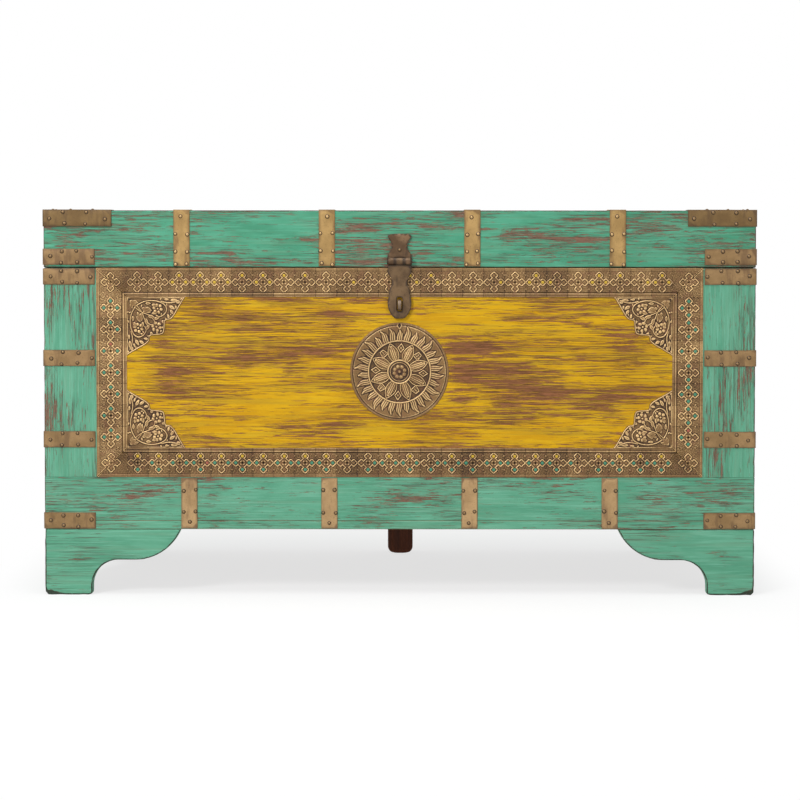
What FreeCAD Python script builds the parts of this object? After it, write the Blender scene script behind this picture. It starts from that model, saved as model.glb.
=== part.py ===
import FreeCAD, Part
import os
import re
import Sketcher

# Painted wooden dowry chest with brass fittings, in millimetres.
# Frame: origin on the floor under the middle of the case, front towards -Y, +X right, +Z up.

doc = FreeCAD.newDocument("DowryChest")
sheet = doc.addObject("Spreadsheet::Sheet", "Sizes")

sizes = (
    # case and lid
    ("case_width", 1140, "case across the front"),
    ("case_depth", 460, "case front to back"),
    ("case_height", 420, "case, above its feet"),
    ("foot_height", 106, "floor to the case"),
    ("lid_height", 92, "lid, rim to top"),
    ("board_thickness", 20, "case and lid walls"),
    ("edge_ease", 1.2, "worn arris of the boards"),
    ("stile_width", 104, "front stiles, partly under the brass"),
    ("rail_height", 84, "front bottom rail and the bottom boards' edge"),
    ("bottom_thickness", 14, "bottom boards, under the walls"),
    ("plank_thickness", 16, "top planks of the lid"),
    ("batten_width", 50, "battens under the planks"),
    ("batten_thickness", 18, "battens under the planks"),
    ("batten_setback", 130, "batten to the lid's end board"),
    # feet
    ("bracket_length", 219, "front and back foot boards"),
    ("side_bracket_length", 180, "side foot boards, from the corner"),
    ("toe_width", 76, "foot on the floor"),
    ("toe_rise", 14, "straight part of the foot"),
    ("cove_radius", 42, "hollow of the foot"),
    ("toe_round", 4, "foot's inner floor edge"),
    ("toe_wear", 4.5, "foot's outer floor edge, worn off"),
    ("block_size", 34, "square glue blocks"),
    ("block_lift", 6, "glue blocks off the floor"),
    ("rear_foot_width", 45.6, "middle foot"),
    ("rear_foot_depth", 30, "middle foot, front to back"),
    ("rear_foot_round", 12, "its floor corners"),
    # embossed brass of the front
    ("frame_width", 972, "brass frame, outside"),
    ("side_band_width", 49, "upright bands"),
    ("cross_band_width", 47, "level bands"),
    ("sheet_thickness", 0.9, "embossed brass, flat parts"),
    ("relief_height", 0.6, "embossing above the flat"),
    ("border_width", 3, "raised border of the bands"),
    ("border_inset", 2, "border from the band's edge"),
    ("motif_pitch", 33, "lobed rings along the bands"),
    ("motif_radius", 14, "lobed ring"),
    ("motif_line", 2.4, "ring's raised line"),
    ("motif_dot", 2.6, "dots in the ring"),
    ("motif_dot_reach", 6.4, "dots from the ring's middle"),
    ("spandrel_reach", 94, "corner ornament along each band"),
    ("scroll_reach", 68, "raised scroll of the spandrel"),
    ("medallion_radius", 79, "round ornament"),
    ("medallion_drop", 166.5, "case rim to its centre"),
    ("rim_line", 4, "medallion's rim"),
    ("outer_ring_radius", 50, "medallion's ring"),
    ("inner_ring_radius", 19, "ring round the rosette"),
    ("ring_line", 3, "raised rings"),
    ("boss_radius", 5, "medallion's middle"),
    # straps and tacks
    ("strap_width", 26, "all brass straps"),
    ("strap_thickness", 1.2, "all brass straps"),
    ("corner_strap_leg", 82, "corner straps along each face"),
    ("corner_strap_inset", 1, "first and last from the case's edges"),
    ("apron_strap_pitch", 225, "straps on the bottom rail"),
    ("lid_strap_pitch", 232.6, "straps over the lid"),
    ("lid_strap_lift", 2.5, "lid straps above the rim"),
    ("lid_strap_tail", 70, "lid straps down the back"),
    ("cap_leg", 109, "lid's corner caps along each face"),
    ("lid_corner_lift", 4.5, "lower corner straps above the rim"),
    ("tack_radius", 2.5, "tack heads"),
    ("tack_rise", 1.7, "tack heads"),
    ("tack_round", 1.4, "dome of the tack heads"),
    ("tack_column", 9, "tack pairs, off the strap's middle"),
    ("tack_margin", 11, "end tacks from the strap's end"),
    # hasp
    ("hasp_axis_rise", 10.8, "hasp pin above the lid's rim"),
    ("hasp_axis_offset", 6, "hasp pin in front of the wood"),
    ("hasp_barrel_radius", 5.5, "hasp knuckles"),
    ("hasp_barrel_length", 40, "hasp knuckles, all three"),
    ("hasp_knuckle", 14, "tongue's knuckle"),
    ("hasp_pin_radius", 2.5, "hasp pin"),
    ("pin_clearance", 0.06, "pin in its bore, radial"),
    ("knuckle_gap", 0.4, "between knuckles"),
    ("turn_clearance", 0.6, "plates clear of turning barrels"),
    ("hasp_plate_thickness", 2.5, "plate on the lid"),
    ("hasp_plate_height", 44, "plate above the pin"),
    ("hasp_plate_half", 19, "plate's half width"),
    ("tongue_thickness", 3, "hasp tongue"),
    ("tongue_length", 91.7, "pin to the tongue's end"),
    ("tongue_half", 18.8, "tongue's half width"),
    ("tongue_clearance", 0.5, "tongue off the embossed brass"),
    ("slot_width", 9, "slot of the tongue"),
    ("slot_top", 57.3, "pin to the slot's top"),
    ("slot_height", 23.2, "slot of the tongue"),
    ("slot_round", 4, "slot's corners"),
    ("staple_thickness", 5.6, "staple's eye"),
    ("staple_radius", 8, "round end of the eye"),
    ("staple_reach", 10, "wood to the eye's middle"),
    ("staple_drop", 70, "hasp pin to the eye's middle"),
    ("eye_radius", 4.4, "hole for the padlock"),
    ("shank_height", 10, "staple's shank in the panel"),
    # hinges at the back
    ("hinge_spread", 464, "between the two hinges"),
    ("hinge_axis_offset", 5.6, "hinge pin behind the wood"),
    ("hinge_barrel_radius", 5, "hinge knuckles"),
    ("hinge_width", 60, "hinge leaves"),
    ("hinge_knuckle", 20, "lid leaf's knuckle"),
    ("hinge_leaf_height", 46, "leaf from the pin"),
    ("hinge_leaf_thickness", 2, "hinge leaves"),
    ("hinge_pin_radius", 2.5, "hinge pins"),
    ("screw_radius", 3.4, "screw heads"),
    ("screw_rise", 1.2, "screw heads"),
    ("screw_column", 20, "screws off the leaf's middle"),
    ("screw_drop", 16, "first screws from the pin"),
    ("screw_step", 18, "second screws from the first"),
    ("cut_overrun", 2, "cuts run past the face by this"),
)
for row, (alias, value, note) in enumerate(sizes, 1):
    sheet.set(f"A{row}", str(value))
    sheet.setAlias(f"A{row}", alias)
    sheet.set(f"B{row}", note)
doc.recompute()

# Counts.
strapRows = 4
petalCount = 8
flameCount = 30

# Places and outlines as shares of the sizes that they follow.
bulgeRunShare = 0.23
bulgeRoundShares = (1.6, 0.8)
nailShare = 0.41
spandrelShares = (
    (1.0, 0.0), (0.957, 0.064), (0.872, 0.213), (0.809, 0.319), (0.745, 0.383), (0.665, 0.404),
    (0.654, 0.479), (0.644, 0.564), (0.622, 0.622), (0.564, 0.644), (0.479, 0.654), (0.404, 0.665),
    (0.383, 0.745), (0.319, 0.809), (0.213, 0.872), (0.064, 0.957), (0.0, 1.0),
)
scrollShares = (
    (0.12, 0.12), (0.55, 0.1), (0.86, 0.16), (0.93, 0.3), (0.8, 0.42), (0.62, 0.4), (0.6, 0.55),
    (0.72, 0.72), (0.55, 0.6), (0.4, 0.62), (0.42, 0.8), (0.3, 0.93), (0.16, 0.86), (0.1, 0.55),
)
tongueShares = (
    (1.0, 0.206), (0.9, 0.241), (0.75, 0.284), (0.65, 0.345), (0.65, 0.407), (0.75, 0.45),
    (0.85, 0.494), (0.87, 0.54), (0.91, 0.59), (0.97, 0.66), (1.02, 0.72), (1.0, 0.782),
    (0.95, 0.826), (0.88, 0.869), (0.72, 0.925), (0.57, 0.968), (0.42, 0.99), (0.25, 1.0),
)
plateShares = (
    (1.02, 0.17), (1.0, 0.24), (0.86, 0.33), (0.71, 0.42), (0.66, 0.53), (0.67, 0.62),
    (0.77, 0.73), (0.94, 0.83), (1.0, 0.91), (0.88, 0.96), (0.6, 0.985), (0.25, 1.0),
)
lotusShares = ((0.12, 0.0), (0.25, 0.4), (0.21, 0.64), (0.0, 1.0), (-0.21, 0.64), (-0.25, 0.4), (-0.12, 0.0))
flameShares = ((0.14, 0.0), (0.18, 0.35), (0.12, 0.68), (0.0, 1.0), (-0.12, 0.68), (-0.18, 0.35), (-0.14, 0.0))
legTackShares = (0.36, 0.66)
capTackShares = (0.3, 0.62)
lidFrontTackShares = (0.59, 0.29, 0.07)
lidTopTackShares = (-0.36, -0.18, 0.0, 0.18, 0.36)
apronTackShares = (0.75, 0.33)

# Heights and faces that several pieces share.
caseTop = "foot_height + case_height"
wallFloor = "foot_height + bottom_thickness"
wallHeight = "case_height - bottom_thickness"
railTop = "foot_height + rail_height"
lidTop = "foot_height + case_height + lid_height"
half = "case_width / 2"
deep = "case_depth / 2"
innerHalf = "case_width / 2 - board_thickness"
innerDeep = "case_depth / 2 - board_thickness"
frameHalf = "frame_width / 2"
fieldHalf = "(frame_width / 2 - side_band_width)"
fieldTop = "(foot_height + case_height - cross_band_width)"
fieldLow = "(foot_height + rail_height + cross_band_width)"
brassThickness = "sheet_thickness + relief_height"
haspHeight = "foot_height + case_height + hasp_axis_rise"
haspFront = "case_depth / 2 + hasp_axis_offset"
strapOuter = "strap_thickness + tack_rise"

nodes = []
vector = FreeCAD.Vector
rule = Sketcher.Constraint


def bound(text):
    """Point each alias of an expression at the sheet; every alias has an underscore."""
    return re.sub(r"\b([a-z]+(?:_[a-z]+)+)\b", r"Sizes.\1", text)


def worth(text):
    """The number that an expression has now."""
    return float(sheet.evalExpression(bound(text)))


def bind(thing, path, text):
    thing.setExpression(path, bound(text))


def place(thing, x, y, z, turn=0):
    """Put a sub-part at x, y, z, turned about +Z."""
    thing.Placement = FreeCAD.Placement(vector(), FreeCAD.Rotation(vector(0, 0, 1), turn))
    for axis, text in zip("xyz", (x, y, z)):
        if text != "0":
            bind(thing, f"Placement.Base.{axis}", text)


def newBody(label, x="0", y="0", z="0", turn=0, keep=True):
    body = doc.addObject("PartDesign::Body", label)
    body.Label = label
    place(body, x, y, z, turn)
    if keep:
        nodes.append(body)
    return body


def originOf(body, role):
    return [feature for feature in body.Origin.OriginFeatures if feature.Role == role][0]


def newSketch(body, name, role, offset="0"):
    sketch = body.newObject("Sketcher::SketchObject", name)
    sketch.AttachmentSupport = [(originOf(body, role), "")]
    sketch.MapMode = "FlatFace"
    if offset != "0":
        bind(sketch, "AttachmentOffset.Base.z", offset)
    return sketch


def fixed(item, end, x, y):
    """Rules that tie a point to two expressions, or to an axis where one is zero."""
    rules = []
    for kind, text, axis in (("DistanceX", x, -2), ("DistanceY", y, -1)):
        if text == "0":
            rules.append((rule("PointOnObject", item, end, axis), None))
        else:
            rules.append((rule(kind, -1, 1, item, end, worth(text)), text))
    return rules


def apply(sketch, rules):
    """Add rules to a sketch and bind those that carry an expression."""
    first = sketch.ConstraintCount
    sketch.addConstraint([made for made, text in rules])
    for number, (made, text) in enumerate(rules, first):
        if text:
            bind(sketch, f"Constraints[{number}]", text)


def polygon(sketch, points):
    """A closed outline through points given as pairs of expressions."""
    first = sketch.GeometryCount
    spots = [vector(worth(x), worth(y), 0) for x, y in points]
    lines = [Part.LineSegment(here, there) for here, there in zip(spots, spots[1:] + spots[:1])]
    sketch.addGeometry(lines, False)
    rules = []
    for index, (x, y) in enumerate(points):
        after = first + (index + 1) % len(points)
        rules.append((rule("Coincident", first + index, 2, after, 1), None))
        rules += fixed(first + index, 1, x, y)
    apply(sketch, rules)


def rectangle(sketch, left, right, low, high):
    polygon(sketch, ((left, low), (right, low), (right, high), (left, high)))


def circle(sketch, x, y, radius):
    ring = Part.Circle(vector(worth(x), worth(y), 0), vector(0, 0, 1), worth(radius))
    item = sketch.addGeometry(ring, False)
    apply(sketch, [(rule("Radius", item, worth(radius)), radius)] + fixed(item, 3, x, y))


def sweep(body, kind, name, sketch, length, backwards=False, middle=False):
    """A Pad or a Pocket of a sketch."""
    feature = body.newObject(f"PartDesign::{kind}", name)
    feature.Profile = sketch
    bind(feature, "Length", length)
    feature.Reversed = backwards
    feature.Midplane = middle
    return feature


def repeat(body, kind, name, features, axis, count, length=None):
    """A LinearPattern over a length, or a PolarPattern over the full turn."""
    feature = body.newObject(f"PartDesign::{kind}", name)
    feature.Originals = features
    if kind == "LinearPattern":
        feature.Direction = (originOf(body, axis), [""])
        bind(feature, "Length", length)
    else:
        feature.Axis = (originOf(body, axis), [""])
        feature.Angle = 360
    if isinstance(count, str):
        bind(feature, "Occurrences", count)
    else:
        feature.Occurrences = count
    body.Tip = feature
    return feature


def rounded(body, name, size, spots, kind="Fillet"):
    """Fillet or chamfer the edges whose middle lies where one of the spots says, axis by axis."""
    doc.recompute()
    base = body.Tip
    wanted = [[(axis, worth(text)) for axis, text in spot.items()] for spot in spots]
    slack = worth("edge_ease") / 100
    edges = []
    for number, edge in enumerate(base.Shape.Edges, 1):
        middle = edge.CenterOfMass
        if any(all(abs(getattr(middle, axis) - value) < slack for axis, value in spot) for spot in wanted):
            edges.append(f"Edge{number}")
    feature = body.newObject(f"PartDesign::{kind}", name)
    feature.Base = (base, edges)
    bind(feature, "Radius" if kind == "Fillet" else "Size", size)
    return feature


def board(label, x, y, z, length, width, height):
    """A squared board with eased arrises, its lower corner at x, y, z."""
    body = newBody(label, x, y, z)
    block = body.newObject("PartDesign::AdditiveBox", "Board")
    bind(block, "Length", length)
    bind(block, "Width", width)
    bind(block, "Height", height)
    doc.recompute()
    ease = body.newObject("PartDesign::Chamfer", "Arris")
    ease.Base = (block, ["Face1"])
    ease.UseAllEdges = True
    bind(ease, "Size", "edge_ease")
    return body


def group(label, members):
    """Identical pieces of one kind in one node, as separate solids."""
    gathered = doc.addObject("Part::Compound", label)
    gathered.Label = label
    gathered.Links = members
    nodes.append(gathered)
    return gathered


def tacks(body, name, role, centres, offset, backwards=False):
    """Round heads on one face; their domes are rounded afterwards."""
    sketch = newSketch(body, name + "Places", role, offset)
    for x, y in centres:
        circle(sketch, x, y, "tack_radius")
    return sweep(body, "Pad", name, sketch, "tack_rise", backwards)


# Two bottom boards lie across the feet and carry the walls; their edge shows as the lowest strip of the front.
for label, y in (("bottom_front_board", f"-{deep}"), ("bottom_rear_board", "0")):
    board(label, f"-{half}", y, "foot_height", "case_width", "case_depth / 2", "bottom_thickness")

# Walls of the case. The front and back run the full width, the sides stand between them.
board("front_bottom_rail", f"-{half}", f"-{deep}", wallFloor, "case_width", "board_thickness",
      "rail_height - bottom_thickness")
panelHeight = "case_height - rail_height"
for label, x in (("front_left_stile", f"-{half}"), ("front_right_stile", f"{half} - stile_width")):
    board(label, x, f"-{deep}", railTop, "stile_width", "board_thickness", panelHeight)
field = board("front_field_panel", f"stile_width - {half}", f"-{deep}", railTop,
              "case_width - 2 * stile_width", "board_thickness", panelHeight)
mortise = newSketch(field, "MortiseOutline", "XZ_Plane")
eyeHeight = "case_height - rail_height + hasp_axis_rise - staple_drop"
middle = "(case_width / 2 - stile_width)"
rectangle(mortise, f"{middle} - staple_thickness / 2", f"{middle} + staple_thickness / 2",
          f"{eyeHeight} - shank_height / 2", f"{eyeHeight} + shank_height / 2")
sweep(field, "Pocket", "Mortise", mortise, "board_thickness + cut_overrun")

board("back_panel", f"-{half}", innerDeep, wallFloor, "case_width", "board_thickness", wallHeight)
for label, x in (("left_side_panel", f"-{half}"), ("right_side_panel", innerHalf)):
    board(label, x, f"board_thickness - {deep}", wallFloor, "board_thickness",
          "case_depth - 2 * board_thickness", wallHeight)


def bracket(label, x, y, turn, length, toe, backwards, worn):
    """A foot board with an ogee: a hollow over the toe, then a full round up to the case."""
    body = newBody(label, x, y, "0", turn)
    outline = newSketch(body, "Ogee", "XZ_Plane")
    flat = "(toe_rise + cove_radius)"
    spread = f"({length} - ({toe}) - cove_radius)"
    rise = f"(foot_height - {flat})"
    kneeRun = f"{length} - {bulgeRunShare} * {spread}"
    polygon(outline, (("0", "0"), (toe, "0"), (toe, flat), (kneeRun, flat),
                      (length, "foot_height"), ("0", "foot_height")))
    sweep(body, "Pad", "Foot", outline, "board_thickness", backwards)
    rounded(body, "Worn", "toe_wear", [{worn: "0", "z": "0"}], "Chamfer")
    curves = (
        ("ToeEdge", "toe_round", toe, "0"),
        ("Cove", "cove_radius - edge_ease / 10", toe, flat),
        ("Knee", f"min({bulgeRoundShares[0]} * {rise}; {bulgeRoundShares[1]} * {spread})", kneeRun, flat),
    )
    for name, size, across, up in curves:
        rounded(body, name, size, [{"x": across, "z": up}])


# Run, toe and the axis across which the outer floor edge lies.
frontRun = ("bracket_length", "toe_width", "x")
sideRun = ("(side_bracket_length - board_thickness)", "toe_width - board_thickness", "y")
nextToFront = f"board_thickness - {deep}"
for label, x, y, turn, run, backwards in (
    ("front_left_foot_front", f"-{half}", f"-{deep}", 0, frontRun, True),
    ("front_right_foot_front", half, f"-{deep}", 180, frontRun, False),
    ("rear_left_foot_back", f"-{half}", deep, 0, frontRun, False),
    ("rear_right_foot_back", half, deep, 180, frontRun, True),
    ("front_left_foot_side", f"-{half}", nextToFront, 90, sideRun, False),
    ("front_right_foot_side", half, nextToFront, 90, sideRun, True),
    ("rear_left_foot_side", f"-{half}", innerDeep, -90, sideRun, True),
    ("rear_right_foot_side", half, innerDeep, -90, sideRun, False),
):
    bracket(label, x, y, turn, run[0], run[1], backwards, run[2])

blocks = []
for name, x, y in (
    ("BlockFrontLeft", f"board_thickness - {half}", nextToFront),
    ("BlockFrontRight", f"{innerHalf} - block_size", nextToFront),
    ("BlockRearLeft", f"board_thickness - {half}", f"{innerDeep} - block_size"),
    ("BlockRearRight", f"{innerHalf} - block_size", f"{innerDeep} - block_size"),
):
    block = doc.addObject("Part::Box", name)
    for side, text in (("Length", "block_size"), ("Width", "block_size"), ("Height", "foot_height - block_lift")):
        bind(block, side, text)
    place(block, x, y, "block_lift")
    blocks.append(block)
group("corner_glue_blocks", blocks)

rearFoot = newBody("centre_rear_foot", "-rear_foot_width / 2", f"{deep} - rear_foot_depth", "0")
post = rearFoot.newObject("PartDesign::AdditiveBox", "Post")
bind(post, "Length", "rear_foot_width")
bind(post, "Width", "rear_foot_depth")
bind(post, "Height", "foot_height")
rounded(rearFoot, "FloorCorners", "rear_foot_round", [{"y": "rear_foot_depth / 2", "z": "0"}])

# Embossed brass frame: four mitred bands with a raised border and a row of lobed rings.


def band(label, along, turn, x, z):
    """A band drawn level, its outer edge below, then turned about its middle on the front."""
    across = "cross_band_width" if turn in (0, 180) else "side_band_width"
    mitre = "side_band_width" if turn in (0, 180) else "cross_band_width"
    body = newBody(label, x, f"-{deep}", z)
    turned = FreeCAD.Rotation(vector(0, -1, 0), turn)
    body.Placement = FreeCAD.Placement(body.Placement.Base, turned)
    plain = newSketch(body, "Mitred", "XZ_Plane")
    polygon(plain, ((f"-{along}", "0"), (along, "0"), (f"{along} - {mitre}", across),
                    (f"{mitre} - {along}", across)))
    sweep(body, "Pad", "Sheet", plain, "sheet_thickness")
    lines = newSketch(body, "Borders", "XZ_Plane", "sheet_thickness")
    for low in ("border_inset", f"{across} - border_inset - border_width"):
        high = f"{low} + border_width"
        lean = f"{mitre} / {across}"
        polygon(lines, ((f"({low}) * {lean} - {along}", low), (f"{along} - ({low}) * {lean}", low),
                        (f"{along} - ({high}) * {lean}", high), (f"({high}) * {lean} - {along}", high)))
    sweep(body, "Pad", "Border", lines, "relief_height")
    count = f"(floor(({along} - {mitre}) / motif_pitch) * 2 + 1)"
    start = f"-(({count} - 1) / 2 * motif_pitch)"
    rings = newSketch(body, "Rings", "XZ_Plane", "sheet_thickness")
    centre = f"{across} / 2"
    circle(rings, start, centre, "motif_radius")
    circle(rings, start, centre, "motif_radius - motif_line")
    for dx, dz in ((1, 0), (-1, 0), (0, 1), (0, -1)):
        circle(rings, f"{start} + {dx} * motif_dot_reach", f"{centre} + {dz} * motif_dot_reach", "motif_dot")
    ring = sweep(body, "Pad", "Ring", rings, "relief_height")
    repeat(body, "LinearPattern", "RingRow", [ring], "X_Axis", count, f"({count} - 1) * motif_pitch")


bandMiddle = "foot_height + rail_height + (case_height - rail_height) / 2"
bandTall = "((case_height - rail_height) / 2)"
band("brass_band_bottom", frameHalf, 0, "0", railTop)
band("brass_band_top", frameHalf, 180, "0", caseTop)
band("brass_band_left", bandTall, -90, f"-{frameHalf}", bandMiddle)
band("brass_band_right", bandTall, 90, frameHalf, bandMiddle)

# Corner ornaments inside the frame, one outline for all four.
for label, sideways, upward, x, z in (
    ("spandrel_bottom_left", 1, 1, f"-{fieldHalf}", fieldLow),
    ("spandrel_bottom_right", -1, 1, fieldHalf, fieldLow),
    ("spandrel_top_left", 1, -1, f"-{fieldHalf}", fieldTop),
    ("spandrel_top_right", -1, -1, fieldHalf, fieldTop),
):
    body = newBody(label, x, f"-{deep}", z)
    outline = newSketch(body, "Outline", "XZ_Plane")
    points = [(f"{sideways * a} * spandrel_reach" if a else "0", f"{upward * b} * spandrel_reach" if b else "0")
              for a, b in spandrelShares]
    polygon(outline, [("0", "0")] + points)
    sweep(body, "Pad", "Sheet", outline, "sheet_thickness")
    scroll = newSketch(body, "Scroll", "XZ_Plane", "sheet_thickness")
    polygon(scroll, [(f"{sideways * a} * scroll_reach", f"{upward * b} * scroll_reach") for a, b in scrollShares])
    sweep(body, "Pad", "Leaf", scroll, "relief_height")

# Medallion: turned rings, eight lotus petals and a wreath of flames.
medallion = newBody("medallion", "0", f"-{deep}", "foot_height + case_height - medallion_drop")
profile = newSketch(medallion, "Rings", "XY_Plane")
flatFace = "-sheet_thickness"
proudFace = f"-({brassThickness})"
polygon(profile, (
    ("0", "0"), ("medallion_radius", "0"), ("medallion_radius", proudFace),
    ("medallion_radius - rim_line", proudFace), ("medallion_radius - rim_line", flatFace),
    ("outer_ring_radius + ring_line / 2", flatFace), ("outer_ring_radius + ring_line / 2", proudFace),
    ("outer_ring_radius - ring_line / 2", proudFace), ("outer_ring_radius - ring_line / 2", flatFace),
    ("inner_ring_radius + ring_line / 2", flatFace), ("inner_ring_radius + ring_line / 2", proudFace),
    ("inner_ring_radius - ring_line / 2", proudFace), ("inner_ring_radius - ring_line / 2", flatFace),
    ("boss_radius", flatFace), ("boss_radius", proudFace), ("0", proudFace),
))
turning = medallion.newObject("PartDesign::Revolution", "Turned")
turning.Profile = profile
turning.ReferenceAxis = (originOf(medallion, "Y_Axis"), [""])
turning.Angle = 360
for name, shares, low, high, count in (
    ("Lotus", lotusShares, "inner_ring_radius", "(outer_ring_radius - ring_line)", petalCount),
    ("Flame", flameShares, "outer_ring_radius", "(medallion_radius - rim_line - ring_line / 2)", flameCount),
):
    petal = newSketch(medallion, name + "Outline", "XZ_Plane", "sheet_thickness / 2")
    reach = f"({high} - {low})"
    polygon(petal, [(f"{a} * {reach}" if a else "0", f"{low} + {b} * {reach}") for a, b in shares])
    raised = sweep(medallion, "Pad", name, petal, "sheet_thickness / 2 + relief_height")
    repeat(medallion, "PolarPattern", name + "Ring", [raised], "Y_Axis", count)


# Straps bent round the corners, each corner drawn with its faces along local +X and +Y.
def bend(body, leg, low, height, name="Strip"):
    outline = newSketch(body, name + "Plan", "XY_Plane", low)
    polygon(outline, (("-strap_thickness", "-strap_thickness"), (leg, "-strap_thickness"), (leg, "0"),
                      ("0", "0"), ("0", leg), ("-strap_thickness", leg)))
    return sweep(body, "Pad", name, outline, height)


corners = (
    ("front_left", f"-{half}", f"-{deep}", 0),
    ("front_right", half, f"-{deep}", 90),
    ("rear_right", half, deep, 180),
    ("rear_left", f"-{half}", deep, -90),
)
legTacks = [("tack_margin", "0.5 * strap_width"), ("corner_strap_leg - tack_margin / 2", "0.5 * strap_width")]
legTacks += [(f"{share} * corner_strap_leg", f"0.5 * strap_width + {side} * tack_column")
             for share in legTackShares for side in (1, -1)]
capTacks = [("tack_margin", "0.5 * strap_width"), ("cap_leg - tack_margin", "0.5 * strap_width")]
capTacks += [(f"{share} * cap_leg", f"0.5 * strap_width + {side} * tack_column")
             for share in capTackShares for side in (1, -1)]
strapRun = "(case_height - 2 * corner_strap_inset - strap_width)"


def domes(body, planes):
    """Round the outer rims of the heads, on each (axis, distance) plane."""
    rounded(body, "Domes", "tack_round", [{axis: text} for axis, text in planes])


def legHeads(body, name, places):
    """Heads on the two faces of a corner."""
    front = tacks(body, name + "Front", "XZ_Plane", places, "strap_thickness")
    side = tacks(body, name + "Side", "YZ_Plane", places, "-strap_thickness", True)
    return [front, side]


bothFaces = (("y", f"-({strapOuter})"), ("x", f"-({strapOuter})"))
caseHeads = []
for corner, x, y, turn in corners:
    body = newBody("case_straps_" + corner, x, y, "foot_height + corner_strap_inset", turn)
    strip = bend(body, "corner_strap_leg", "0", "strap_width")
    repeat(body, "LinearPattern", "Rows", [strip], "Z_Axis", strapRows, strapRun)
    heads = newBody("Heads_" + corner, x, y, "foot_height + corner_strap_inset", turn, keep=False)
    features = legHeads(heads, "Head", legTacks)
    repeat(heads, "LinearPattern", "Rows", features, "Z_Axis", strapRows, strapRun)
    domes(heads, bothFaces)
    caseHeads.append(heads)

apron = newBody("apron_straps", f"-(({strapRows} - 1) / 2 * apron_strap_pitch)", f"-{deep}", "foot_height")
strip = newSketch(apron, "StripOutline", "XZ_Plane")
rectangle(strip, "-strap_width / 2", "strap_width / 2", "edge_ease", "rail_height - edge_ease")
strip = sweep(apron, "Pad", "Strip", strip, "strap_thickness")
repeat(apron, "LinearPattern", "Row", [strip], "X_Axis", strapRows, f"({strapRows} - 1) * apron_strap_pitch")
apronHeads = newBody("Heads_apron", f"-(({strapRows} - 1) / 2 * apron_strap_pitch)", f"-{deep}",
                     "foot_height", keep=False)
places = [("0", "tack_margin")] + [(f"{side} * tack_column", f"{share} * rail_height")
                                   for share in apronTackShares for side in (1, -1)]
heads = tacks(apronHeads, "Head", "XZ_Plane", places, "strap_thickness")
repeat(apronHeads, "LinearPattern", "Row", [heads], "X_Axis", strapRows, f"({strapRows} - 1) * apron_strap_pitch")
domes(apronHeads, (("y", f"-({strapOuter})"),))
group("case_strap_tacks", caseHeads + [apronHeads])

# Staple: a flat forged eye whose shank goes through the field panel.
staple = newBody("hasp_staple", "0", f"-{deep}", f"{haspHeight} - staple_drop")
outline = newSketch(staple, "CheekOutline", "YZ_Plane")
rectangle(outline, "-staple_reach", "0", "-staple_radius", "staple_radius")
sweep(staple, "Pad", "Cheek", outline, "staple_thickness", middle=True)
outline = newSketch(staple, "NoseOutline", "YZ_Plane")
circle(outline, "-staple_reach", "0", "staple_radius")
sweep(staple, "Pad", "Nose", outline, "staple_thickness", middle=True)
outline = newSketch(staple, "ShankOutline", "YZ_Plane")
rectangle(outline, "0", "board_thickness", "-shank_height / 2", "shank_height / 2")
sweep(staple, "Pad", "Shank", outline, "staple_thickness", middle=True)
outline = newSketch(staple, "EyeOutline", "YZ_Plane")
circle(outline, "-staple_reach", "0", "eye_radius")
sweep(staple, "Pocket", "Eye", outline, "staple_thickness + 2 * cut_overrun", middle=True)

# Lid: a frame of four boards, three planks between them on two battens.
board("lid_front_board", f"-{half}", f"-{deep}", caseTop, "case_width", "board_thickness", "lid_height")
board("lid_back_board", f"-{half}", innerDeep, caseTop, "case_width", "board_thickness", "lid_height")
for label, x in (("lid_left_board", f"-{half}"), ("lid_right_board", innerHalf)):
    board(label, x, f"board_thickness - {deep}", caseTop, "board_thickness",
          "case_depth - 2 * board_thickness", "lid_height")
innerWidth = "case_width - 2 * board_thickness"
plankDepth = "(case_depth - 2 * board_thickness) / 3"
for index, label in enumerate(("lid_front_plank", "lid_middle_plank", "lid_rear_plank")):
    board(label, f"board_thickness - {half}", f"board_thickness - {deep} + {index} * {plankDepth}",
          f"{lidTop} - plank_thickness", innerWidth, plankDepth, "plank_thickness")
battens = []
for name, x in (("BattenLeft", f"board_thickness + batten_setback - {half}"),
                ("BattenRight", f"{innerHalf} - batten_setback - batten_width")):
    batten = doc.addObject("Part::Box", name)
    bind(batten, "Length", "batten_width")
    bind(batten, "Width", "case_depth - 2 * board_thickness")
    bind(batten, "Height", "batten_thickness")
    place(batten, x, nextToFront, f"{lidTop} - plank_thickness - batten_thickness")
    battens.append(batten)
group("lid_battens", battens)

# Long straps: up the front of the lid, over the top and down the back.
faceOut = "(case_depth / 2 + strap_thickness)"
for label, place_share in (("lid_strap_outer_left", -1.5), ("lid_strap_inner_left", -0.5),
                           ("lid_strap_inner_right", 0.5), ("lid_strap_outer_right", 1.5)):
    body = newBody(label, f"{place_share} * lid_strap_pitch", "0", caseTop)
    outline = newSketch(body, "Bend", "YZ_Plane")
    polygon(outline, ((f"-{faceOut}", "lid_strap_lift"), (f"-{faceOut}", "lid_height + strap_thickness"),
                      (faceOut, "lid_height + strap_thickness"), (faceOut, "lid_height - lid_strap_tail"),
                      (deep, "lid_height - lid_strap_tail"), (deep, "lid_height"),
                      (f"-{deep}", "lid_height"), (f"-{deep}", "lid_strap_lift")))
    sweep(body, "Pad", "Strip", outline, "strap_width", middle=True)

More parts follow.
